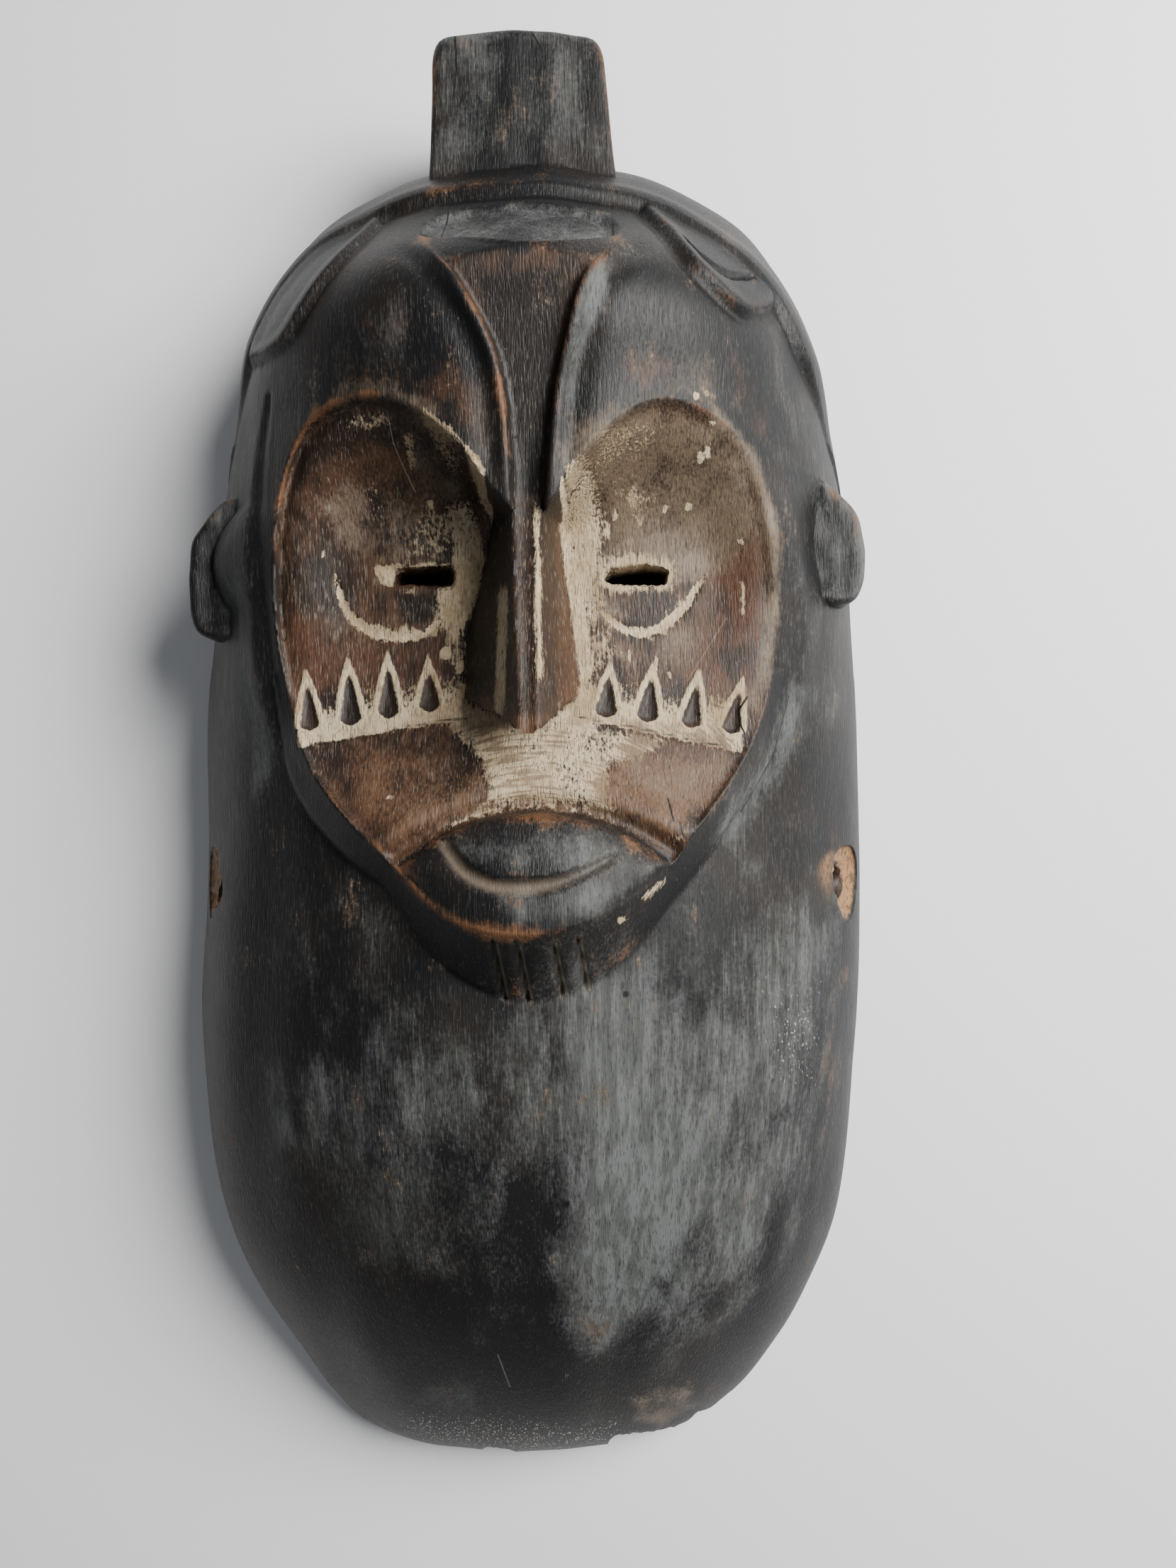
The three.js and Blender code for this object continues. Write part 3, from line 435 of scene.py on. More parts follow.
def nose_height(x, y):
    """The nose as a roof: a flat ridge between two arrises, and on each side a plane down to the foot.
    The arrises stand a little proud, as thin beads."""
    rows = np.array(NOSE_ROWS)
    foot_left, ridge_left, ridge_right, foot_right, height = (
        profile(list(zip(rows[:, 0], rows[:, k])), y) for k in range(1, 6))
    height = height + (NOSE_TIP_HEIGHT - rows[0, 5]) * (1 - ramp(17, 26, y))
    left_low = floor_height(foot_left, y) - NOSE_FOOT_SINK
    right_low = floor_height(foot_right, y) - NOSE_FOOT_SINK
    left = height - (ridge_left - x) * (height - left_low) / (ridge_left - foot_left)
    right = height - (x - ridge_right) * (height - right_low) / (foot_right - ridge_right)
    top = height + 0.3 - 0.5 * bell(x - (ridge_left + ridge_right) / 2, 1.6)
    top = top + NOSE_BEAD * bell(x - ridge_left - 0.5, 0.7) + NOSE_BEAD * bell(x - ridge_right + 0.5, 0.7)
    return smaller(top, smaller(left, right, 0.4), 0.7)


def jaw_height(x, y, face):
    """The bevel of jaw and chin: between its edge and its foot, heights mixed by the two distances, and the
    edge's own height under the face. Gives the height, and how far inside the foot a point is."""
    edge, foot = flow(JAW_EDGE), flow(JAW_FOOT)
    lip = np.where((np.abs(edge[:, 0] - MOUTH_MIDDLE) < MOUTH_HALF_LENGTH) & (edge[:, 1] < 0),
                   lip_edge(LIP_LOW, edge[:, 0])[1], 0)
    edge_z = np.maximum(floor_height(edge[:, 0], edge[:, 1]), lip)
    foot_z = OUTSIDE.height(foot[:, 0], foot[:, 1]) + JAW_FOOT_LIFT
    edge_away, edge_along, _ = reach(x, y, edge, 30)
    foot_away, foot_along, _ = reach(x, y, foot, 30)
    t = np.where(face > 0, 0, edge_away / np.maximum(edge_away + foot_away, 1e-6))
    high = np.interp(edge_along, np.linspace(0, 1, len(edge)), edge_z)
    low = np.interp(foot_along, np.linspace(0, 1, len(foot)), foot_z)
    band = inside(x, y, np.vstack([foot, edge[[-1, 0]]]), 30)
    return high + (low - high) * t, band


def cut(x, y, line, half_width, depth, taper=0.6):
    """How deep a V-shaped cut along a line goes: depth * (1 - distance / w), where the half width w shrinks
    to both ends as sin(pi t) to the power taper."""
    away, along, _ = reach(x, y, flow(line) if len(line) > 2 else np.array(line, float), half_width + 1)
    w = half_width * np.sin(math.pi * np.clip(along, 0.02, 0.98)) ** taper
    return depth * np.clip(1 - away / w, 0, 1)


# Grids of the front and of the hollow: rows and columns, and the spacing over the face and elsewhere.
FRONT_ROWS, FRONT_COLUMNS = 342, 230
FACE_SPACING, SIDE_SPACING = 0.75, 2.3
HOLLOW_ROWS, HOLLOW_COLUMNS = 96, 54

# Unevenness of the hand-cut surface all over and on the beard, and how far the rim is worn in.
HAND_CUT = 0.22
BEARD_WAVES = 0.35
RIM_WEAR = 0.9

# Forehead forms outside the panel: the leaves below the ends of the hair, with a notch across the right
# one, and a sunk crescent over the panel. Beside the face a ridge and a furrow run down the left, and a
# bevel the right.
LEFT_LEAF = [
    (-31.5, 134), (-36.0, 122.3), (-41.5, 112.7), (-46.4, 106.2), (-52.5, 100.8), (-60.5, 100.8),
    (-66, 106), (-62, 117), (-53, 126.5), (-40, 135),
]
RIGHT_LEAF = [
    (29.4, 134.3), (33.6, 124.4), (36.2, 117.7), (39.6, 112.0), (45.5, 107.2), (52.1, 104.7), (57.9, 108.4),
    (60.4, 114.5), (57.5, 122), (50, 128), (40, 134.5),
]
LEAF_LIFT = 1.9
NOTCH = {"half_width": 1.5, "depth": 1.3}
RIGHT_NOTCH = [(37.5, 122), (41, 117.5), (44.8, 114.8), (48.5, 114.4), (52, 116), (55.5, 118.6)]
CRESCENT = [
    (-21, 121.5), (-10, 117.2), (2, 113.6), (13, 115.2), (23.6, 120.4), (20, 131), (2, 134.5), (-17, 132),
]
SIDE_RIDGE = [(-60.5, 92), (-62.6, 70), (-63.2, 45), (-61.5, 22), (-56, 2)]
SIDE_FURROW = [(-58.5, 92), (-60.4, 74), (-60.2, 50), (-58.6, 28), (-54, 8), (-44, -8)]
RIGHT_BEVEL = [(63.5, 74), (66, 50), (65.6, 28), (60.5, 8), (50, -8)]
# How deep or high these are, and how far the ridge and the bevel reach to each side.
CRESCENT_DEPTH = 1.5
SIDE_RIDGE_LIFT = 1.1
RIGHT_BEVEL_LIFT = 0.9
SIDE_LIFT_WIDTH = 5
FURROW = {"half_width": 2.4, "depth": 0.9, "taper": 0.3}

# Marks of the cheeks: a bow under each eye and a row of drops over a line, each drop from its base to its
# tip.
EYE_BOWS = [
    [(-43.5, 50.2), (-41.9, 44), (-39.2, 39.2), (-35.0, 36.2), (-29.4, 34.6), (-23.6, 34.9), (-18.9, 37.8),
     (-16.3, 42)],
    [(17.4, 41.4), (20.4, 38), (24, 35.6), (28.6, 34.7), (33.2, 36.5), (37.2, 40.2), (40.5, 44.7),
     (43.7, 49.2)],
]
DROPS = [
    ((-48.7, 13.2), (-49.6, 23.8), 2.0), ((-39.2, 14.3), (-40.0, 26.4), 2.3),
    ((-30.4, 15.8), (-30.8, 27.4), 2.2), ((-20.9, 17.2), (-21.3, 26.2), 2.3),
    ((19.2, 15.2), (20.1, 24.6), 2.3), ((28.6, 14.0), (29.9, 24.2), 2.3), ((38.6, 12.6), (40.4, 22.8), 2.1),
    ((47.6, 11.2), (50.2, 20.6), 2.0),
]
DROP_LINES = [
    [(-51.4, 9.6), (-41.4, 11.4), (-30.5, 13.1), (-20, 14.6), (-12.3, 15.4)],
    [(13.1, 15.2), (24, 13.1), (36.7, 10.2), (50.3, 7.2)],
]
# How wide and deep the bows and lines are cut, how deep the drops, and how proud the rim round a drop is.
BOW_CUT = {"half_width": 1.6, "depth": 0.45}
LINE_CUT = {"half_width": 1.0, "depth": 0.5, "taper": 0.3}
DROP_DEPTH = 0.75
DROP_RIM = 0.22


def front_grid():
    """Points of the uncarved shell on a grid that is close over the face and open on the beard and the
    sides."""
    def column_spacing(u):
        """Close over the face, open towards both sides."""
        return FACE_SPACING + (SIDE_SPACING - FACE_SPACING) * ramp(0.44, 0.6, np.abs(u))

    def row_spacing(v):
        """Close from below the chin to the hair, over how fast the shell runs on at v."""
        plain = 1 - ramp(-0.27, -0.2, v) * (1 - ramp(0.66, 0.74, v))
        angle = v * math.pi / 2
        speed = np.hypot(OUTSIDE.reach * np.cos(angle), OUTSIDE.tall[-4][1] * np.sin(angle))
        return (FACE_SPACING + (SIDE_SPACING - FACE_SPACING) * plain) / speed

    across, along = np.meshgrid(spaced(FRONT_COLUMNS, column_spacing), spaced(FRONT_ROWS, row_spacing))
    points = OUTSIDE.surface(across, along)
    x, y, z = np.moveaxis(points, -1, 0)
    closed = [np.vstack([ring, ring[:1]]) for ring in (
        flow(FACE_OUTLINE, closed=True), flow(PANEL_OUTLINE, closed=True), mouth_outline())]
    for line in (*closed, np.array(NOSE_BASE, float)):
        x, y = gather(x, y, line)
    moved = (x != points[..., 0]) | (y != points[..., 1])
    return np.stack([x, y, np.where(moved, OUTSIDE.height(x, y), z)], -1)


def leaf_relief(x, y, outline, lip):
    """A leaf: raised inside its outline and dished in its middle."""
    d = inside_smooth(x, y, outline)
    return lip * ramp(-0.3, 1.3, d) * (1 - 0.5 * ramp(1.5, 6, d))


def relief(x, y, z):
    """How far the carving stands out from the plain shell along its normal, as a sum of the forms on it."""
    hairline = flow(HAIRLINE)
    away, along, side = reach(x, y, hairline, 60)
    hair = away * side
    ends = ramp(0, 0.12, along) * (1 - ramp(0.9, 1, along)) * 0.75 + 0.25
    out = HAIR_LIFT * ramp(-0.3, 1.0, hair) * ends * (1 - 0.8 * ramp(2, 46, hair))
    out = out + 0.7 * bell(hair - 3.2, 2.4) * ends
    out = out - 0.8 * bell(hair + 1.0, 1.3) * ends
    for leaf in (LEFT_LEAF, RIGHT_LEAF):
        out = np.maximum(out, leaf_relief(x, y, leaf, LEAF_LIFT))
        out = out - 0.5 * bell(inside_smooth(x, y, leaf) + 1.1, 1.1) * (1 - ramp(-3, 0, hair))
    out = out - cut(x, y, RIGHT_NOTCH, **NOTCH)
    scoop = inside_smooth(x, y, CRESCENT, 20)
    out = out - CRESCENT_DEPTH * ramp(0, 3, scoop)
    panel = inside_smooth(x, y, PANEL_OUTLINE, 14)
    beside = (1 - ramp(-0.4, 0.2, panel)) * ramp(60, 70, y) * (1 - ramp(112, 120, y))
    out = out + 0.75 * bell(panel + 1.0, 1.3) * beside - 0.9 * bell(panel + 4.4, 2.6) * beside
    for line, lift in ((SIDE_RIDGE, SIDE_RIDGE_LIFT), (RIGHT_BEVEL, RIGHT_BEVEL_LIFT)):
        away, at, _ = reach(x, y, flow(line), 9)
        out = out + lift * np.maximum(1 - away / SIDE_LIFT_WIDTH, 0) * np.sin(math.pi * at)
    out = out - cut(x, y, SIDE_FURROW, **FURROW)
    for swell in EAR_SWELLS:
        along = np.clip(1 - ((y - swell["y"]) / swell["half_length"]) ** 2, 0, 1)
        out = out + swell["proud"] * along * bell(z - swell["z"], swell["width"]) * (x * swell["side"] > 20)
    out = out + HAND_CUT * waves(x, y, 17, 3, 3) + BEARD_WAVES * waves(x, z, 40, 4) * ramp(-60, -90, y)
    return out - RIM_WEAR * (1 - ramp(0, 2.4, z))


def drop_field(x, y):
    """How far inside the nearest drop a point is. A drop is a leaf along its axis from base to tip, t from
    0 to 1, whose half width goes as (1 - t)^0.75, with a rounded foot. Outside it the distance is negative,
    and past the tip it falls slowly, so that the stroke round the drop ends in a point."""
    best = np.full(np.shape(x), -6.0)
    for base, tip, half_width in DROPS:
        (bx, by), (tx, ty) = base, tip
        length = math.hypot(tx - bx, ty - by)
        ax, ay = (tx - bx) / length, (ty - by) / length
        t = ((x - bx) * ax + (y - by) * ay) / length
        s = (x - bx) * ay - (y - by) * ax
        inner = np.clip(t, 0, 1)
        width = half_width * 1.18 * (1 - inner) ** 0.75 * ramp(-0.02, 0.13, inner) ** 0.5
        past = 0.34 * length * np.maximum(t - 1, 0)
        value = np.where(t < 0, -np.hypot(t * length, s), width - np.abs(s) - past)
        best = np.maximum(best, value)
    return best


def carve_face(points):
    """Gives the middle of the shell its face, as heights over the plan: the forehead panel and the floor of
    the face take the place of the shell inside their outlines, the bevel of the jaw and the nose rise out
    of it, and the mouth lies on the end of it. A wall is a ramp about a millimetre wide, and up to 4 at the
    right cheek."""
    x, y, z = np.moveaxis(points, -1, 0)
    panel = inside_smooth(x, y, PANEL_OUTLINE, 4)
    low = np.minimum(profile(PANEL_HEIGHT, y), z - PANEL_SINK)
    z = z + (low - z) * ramp(-0.1, 1.1, panel) * (1 - ramp(111, 116, y))
    face = inside_smooth(x, y, FACE_OUTLINE, 30)
    bevel, band = jaw_height(x, y, face)
    z = z + (larger(z, bevel, 0.3) - z) * ramp(-0.4, 0.3, band)
    floor = floor_height(x, y)
    mouth = inside(x, y, mouth_outline(5), 14)
    above = ramp(-6, 2, y - lip_edge(LIP_TOP, x)[0])
    floor = floor + above * (1.1 * bell(mouth + 6.5, 3.4) - 1.5 * bell(mouth + 1.8, 1.9))
    floor = floor + (lip_height(x, y) - floor) * ramp(-0.3, 0.8, mouth)
    wall = 0.9 + 2.6 * ramp(30, 48, x) * ramp(10, 24, y)
    z = z + (floor - z) * ramp(-0.5, wall, face)
    base = y - profile(NOSE_BASE, x)
    nose = nose_height(x, y) - 40 * ramp(80, 94, y)
    nose = floor - 5 + (nose - floor + 5) * ramp(-0.3, 0.7, base)
    near = (np.abs(x - FACE_MIDDLE) < 19) & (y > 12) & (y < 96)
    z = np.where(near, larger(z, nose, 0.5), z)
    away, along, _ = reach(x, y, flow(SMILE_LINE), 4)
    groove = SMILE["half_width"] * (1 - 0.55 * ramp(0.6, 1, along))
    z = z - SMILE["depth"] * np.sqrt(np.clip(1 - (away / groove) ** 2, 0, 1))
    for start, end in CHIN_CUTS:
        z = z - cut(x, y, [start, end], **CHIN_CUT)
    for bow in EYE_BOWS:
        z = z - cut(x, y, bow, **BOW_CUT)
    drop = drop_field(x, y)
    z = z - DROP_DEPTH * ramp(-0.1, 0.9, drop) + DROP_RIM * bell(drop + 0.7, 0.5)
    for line in DROP_LINES:
        z = z - cut(x, y, line, **LINE_CUT)
    sunk = LEFT_SLIT_FRAME
    z = z - (sunk["depth"] * np.clip((x - sunk["from"]) / (sunk["to"] - sunk["from"]), 0, 1)
             * ramp(-0.4, 0.5, y - sunk["low"]) * ramp(-0.4, 0.5, sunk["high"] - y) * (x < sunk["to"] + 2))
    share = np.clip((z - floor) / (NOSE_TIP_HEIGHT - floor), 0, 1) * ramp(-1, 2, face)
    lean = NOSE_OVERHANG * share * (1 - ramp(15, 44, y)) * ramp(10, 16, y)
    return np.stack([x, y - lean, z], -1)


def front_points():
    """The carved front: the shell moved along its normals by its relief, then given its face, with its
    border kept in the plane of the rim."""
    points = front_grid()
    x, y, z = np.moveaxis(points, -1, 0)
    points = points + grid_normals(points) * relief(x, y, z)[..., None] * ramp(-1, 0.001, z)[..., None]
    carved = carve_face(points)
    rim = np.zeros(z.shape, bool)
    rim[[0, -1], :] = rim[:, [0, -1]] = True
    carved[rim, 2] = 0
    return carved


def hollow_points():
    """The hollow behind: its plain form, with long gouge marks along y."""
    across, along = np.meshgrid(np.linspace(-1, 1, HOLLOW_COLUMNS), np.linspace(-1, 1, HOLLOW_ROWS))
    points = HOLLOW.surface(across, along)
    x, y, z = np.moveaxis(points, -1, 0)
    gouges = 0.5 * np.abs(np.sin(x / 4.6 + 0.8 * waves(x, y, 30, 11))) + 0.3 * waves(x, y, 22, 12, 2)
    return points + grid_normals(points) * (gouges * ramp(0, 8, z))[..., None]


def closed_grid(points, skirt):
    """Corners and triangles of a solid between a grid and a flat bottom. A cell is split along the diagonal
    whose ends differ less in height, and near the border along the one that points away from the middle.
    The bottom is a fan round the middle, a skirt's depth below the border."""
    rows, columns = points.shape[:2]
    index = np.arange(rows * columns).reshape(rows, columns)
    p, q, r, s = index[:-1, :-1], index[:-1, 1:], index[1:, 1:], index[1:, :-1]
    z = points[..., 2]
    split = np.abs(z[:-1, :-1] - z[1:, 1:]) < np.abs(z[:-1, 1:] - z[1:, :-1])
    j, i = np.mgrid[0:rows - 1, 0:columns - 1]
    border = np.minimum(np.minimum(i, columns - 2 - i), np.minimum(j, rows - 2 - j)) < 4
    split = np.where(border, (i < columns / 2) == (j < rows / 2), split)[..., None]
    first = np.where(split, np.stack([p, q, r], -1), np.stack([p, q, s], -1))
    second = np.where(split, np.stack([p, r, s], -1), np.stack([q, r, s], -1))
    ring = np.concatenate([index[0, :-1], index[:-1, -1], index[-1, :0:-1], index[:0:-1, 0]])
    vertices = points.reshape(-1, 3)
    below = vertices[ring] * [1, 1, 0] - [0, 0, skirt]
    middle = np.array([[0, (BEARD_END + HEAD_END) / 2, -skirt]])
    next_ring = np.roll(ring, -1)
    faces = [first.reshape(-1, 3), second.reshape(-1, 3)]
    if skirt > 0:
        base = len(vertices) + np.arange(len(ring))
        next_base = np.roll(base, -1)
        faces += [np.stack([ring, base, next_ring], -1), np.stack([base, next_base, next_ring], -1)]
        vertices = np.vstack([vertices, below])
    else:
        base, next_base = ring, next_ring
    centre = np.full(len(ring), len(vertices))
    faces.append(np.stack([base, centre, next_base], -1))
    return np.vstack([vertices, middle]), np.vstack(faces)


def mesh_object(name, vertices, faces):
    """A mesh object from arrays in carving millimetres, moved into the frame, with its faces pointing
    out."""
    mesh = bpy.data.meshes.new(name)
    mesh.from_pydata(((np.asarray(vertices) + SHIFT) * MM).tolist(), [], np.asarray(faces).tolist())
    mesh.validate()
    work = bmesh.new()
    work.from_mesh(mesh)
    bmesh.ops.recalc_face_normals(work, faces=work.faces)
    work.to_mesh(mesh)
    work.free()
    piece = bpy.data.objects.new(name, mesh)
    bpy.context.scene.collection.objects.link(piece)
    return piece


def combine(piece, tools, operation):
    """Joins or cuts a piece with closed tools, one after the other, and removes the tools."""
    for tool in tools:
        step = piece.modifiers.new("step", "BOOLEAN")
        step.operation, step.object, step.solver = operation, tool, "MANIFOLD"
        graph = bpy.context.evaluated_depsgraph_get()
        done = bpy.data.meshes.new_from_object(piece.evaluated_get(graph))
        piece.modifiers.clear()
        piece.data = done
        bpy.data.objects.remove(tool)


def rings_solid(rings):
    """Corners and triangles of a solid through a run of closed rings, with a fan over each end."""
    rings = np.asarray(rings)
    count, size = rings.shape[:2]
    index = np.arange(count * size).reshape(count, size)
    p, q = index[:-1], np.roll(index, -1, 1)[:-1]
    r, s = np.roll(index, -1, 1)[1:], index[1:]
    vertices = np.vstack([rings.reshape(-1, 3), rings[0].mean(0), rings[-1].mean(0)])
    ends = [np.stack([np.full(size, count * size), np.roll(index[0], -1), index[0]], -1),
            np.stack([np.full(size, count * size + 1), index[-1], np.roll(index[-1], -1)], -1)]
    sides = [np.stack([p, q, r], -1).reshape(-1, 3), np.stack([p, r, s], -1).reshape(-1, 3)]
    return vertices, np.vstack(sides + ends)


def slab_rings(outline, levels, round_at, top_rings, steps):
    """Rings of a slab with rounded edges: up the side, over a quarter round, and in over the top to its
    middle. The radius of the round is a function of y."""
    low, high = levels
    edge = outline_steps(outline, steps)
    round_off = round_at(edge[:, 1])
    centre = edge.mean(0)
    chord = np.roll(edge, -1, 0) - np.roll(edge, 1, 0)
    area = np.sum(edge[:, 0] * np.roll(edge[:, 1], -1) - edge[:, 1] * np.roll(edge[:, 0], -1))
    turn = 1 if area > 0 else -1
    outward = turn * unit(np.stack([chord[:, 1], -chord[:, 0]], -1))
    rings = []
    for share in np.linspace(0, 1, 8):
        rings.append((edge, low + (high - round_off - low) * share))
    for angle in np.linspace(0, math.pi / 2, 6)[1:]:
        inward = outward * (round_off * (1 - math.cos(angle)))[:, None]
        rings.append((edge - inward, high - round_off * (1 - math.sin(angle))))
    flat = rings[-1][0]
    for share in np.linspace(0, 0.97, top_rings)[1:]:
        rings.append((centre + (flat - centre) * (1 - share), high))
    return np.array([np.column_stack([plan, np.zeros(len(plan)) + level]) for plan, level in rings])


def outline_steps(outline, steps, rounds=3):
    """Evenly spaced points along a closed outline with straight sides, its corners rounded by averaging."""
    ring = np.vstack([outline, outline[:1]]).astype(float)
    lengths = np.concatenate([[0], np.cumsum(np.hypot(*np.diff(ring, axis=0).T))])
    at = np.linspace(0, lengths[-1], steps, endpoint=False)
    points = np.stack([np.interp(at, lengths, ring[:, 0]), np.interp(at, lengths, ring[:, 1])], -1)
    for _ in range(rounds):
        points = (np.roll(points, 1, 0) + 2 * points + np.roll(points, -1, 0)) / 4
    return points


def make_crest():
    """The crest: a slab with a broad round over its upper end, worn down a little towards its two sides."""
    rings = slab_rings(CREST_OUTLINE, CREST_LEVELS, lambda y: 1.3 + 1.9 * ramp(173, 179, y), 16, 120)
    x, y, z = np.moveaxis(rings, -1, 0)
    top = ramp(46, 50, z)
    z = z - top * (0.6 * ramp(6, 15, np.abs(x - 1)) + 0.22 * waves(x, y, 9, 21, 2))
    return mesh_object("crest", *rings_solid(np.stack([x, y, z], -1)))


def make_ear(outline):
    """An ear: a slab with a raised border and a dished middle."""
    rings = slab_rings(outline, EAR_LEVELS, lambda y: 1.7 + 0 * y, 12, 84)
    x, y, z = np.moveaxis(rings, -1, 0)
    d = inside(x, y, np.array(outline, float), 12)
    top = ramp(42, 45.5, z)
    z = z - top * (1.2 * ramp(1.2, 6, d) + 0.2 * waves(x, y, 8, 22))
    return mesh_object("ear", *rings_solid(np.stack([x, y, z], -1)))


def ovals(middles, across, up, size):
    """Rings round a run of middle points: middle + across * cos(angle) + up * sin(angle)."""
    angle = np.linspace(0, 2 * math.pi, size, endpoint=False)[None, :, None]
    return middles[:, None] + across[:, None] * np.cos(angle) + up[:, None] * np.sin(angle)


def make_slit(outline, seed):
    """An eye slit: its outline moved outwards by the amount that each level gives, a little unevenly."""
    edge = flow(outline, closed=True, steps=5)
    chord = np.roll(edge, -1, 0) - np.roll(edge, 1, 0)
    outward = unit(np.stack([-chord[:, 1], chord[:, 0]], -1))
    rings = []
    ex, ey = edge.T
    for level, opened in SLIT_LEVELS:
        uneven = 0.14 * waves(ex, ey, 1.6, seed) + 0.08 * waves(ex, ey + level, 2.6, seed)
        plan = edge + outward * (opened + uneven)[:, None]
        rings.append(np.column_stack([plan, np.full(len(plan), level)]))
    return mesh_object("slit", *rings_solid(rings))


def make_drill(side):
    """A hole drilled across through the side of the mask, a little wider where the cord has worn its outer
    end."""
    x = np.linspace(CORD_HOLE["from"], CORD_HOLE["to"], 22)
    radius = CORD_HOLE["radius"] * (0.9 + 0.14 * ramp(70, 84, x))
    none = np.zeros_like(x)
    middles = np.stack([side * x, none + CORD_HOLE["y"], none + CORD_HOLE["z"]], -1)
    across = np.stack([none, radius * 0.97, none], -1)
    up = np.stack([none, none, radius], -1)
    return mesh_object("drill", *rings_solid(ovals(middles, across, up, 26)))


def make_hole_chip(side, ends, z, half_height, depth):
    """The broken hollow round the outer end of a cord hole: a lens along y, pointed below and blunt above,
    whose size goes as t^0.75 * (1 - t)^0.4, laid on the side of the shell."""
    t = np.linspace(0.004, 0.996, 30)
    y = ends[0] + (ends[1] - ends[0]) * t
    size = 1.55 * t ** 0.75 * (1 - t) ** 0.4
    low, high = z - half_height, z + half_height
    out = [OUTSIDE.side(y, level) for level in (low, z, high)]
    lean = unit(np.stack([out[2] - out[0], np.full_like(y, 2 * half_height)], -1))
    middles = np.stack([side * (out[1] + 0.4), y, np.full_like(y, z)], -1)
    none = np.zeros_like(y)
    across = np.stack([side * depth * lean[:, 1], none, -depth * lean[:, 0]], -1) * size[:, None]
    up = np.stack([side * half_height * lean[:, 0], none, half_height * lean[:, 1]], -1) * size[:, None]
    rings = ovals(middles, across, up, 36)
    rough = 0.35 * waves(rings[..., 1], rings[..., 2], 3.2, 31 + side)
    rings[..., 0] += side * rough
    return mesh_object("hole_chip", *rings_solid(rings))


def make_loss(outline, seed):
    """A loss from the edge of the beard: a cut whose broken sides are uneven, and lean in as the wall
    does."""
    edge = outline_steps(outline, 80, 1)
    rings = []
    for level in np.linspace(-6, 34, 17):
        rough = 0.35 * waves(edge[:, 0] + edge[:, 1], np.full(len(edge), level), 3.0, seed)
        slope = LOSS_LEAN * level * np.array([0, 1])
        rings.append(np.column_stack([edge + slope + rough[:, None], np.full(len(edge), level)]))
    return mesh_object("loss", *rings_solid(rings))


def make_mask():
    """The carving in one piece: crest and ears are joined on, then the hollow, slits, holes and losses are
    cut."""
    piece = mesh_object("mask_carving", *closed_grid(front_points(), 0))
    proud = [make_crest(), *(make_ear(outline) for outline in EAR_OUTLINES)]
    combine(piece, proud, "UNION")
    tools = [mesh_object("hollow", *closed_grid(hollow_points(), 6))]
    tools += [make_slit(outline, seed) for seed, outline in enumerate(SLIT_OUTLINES)]
    tools += [make_drill(-1), make_drill(1), *(make_hole_chip(**chip) for chip in HOLE_CHIPS)]
    tools += [make_loss(outline, 41 + k) for k, outline in enumerate(EDGE_LOSSES)]
    combine(piece, tools, "DIFFERENCE")
    return piece


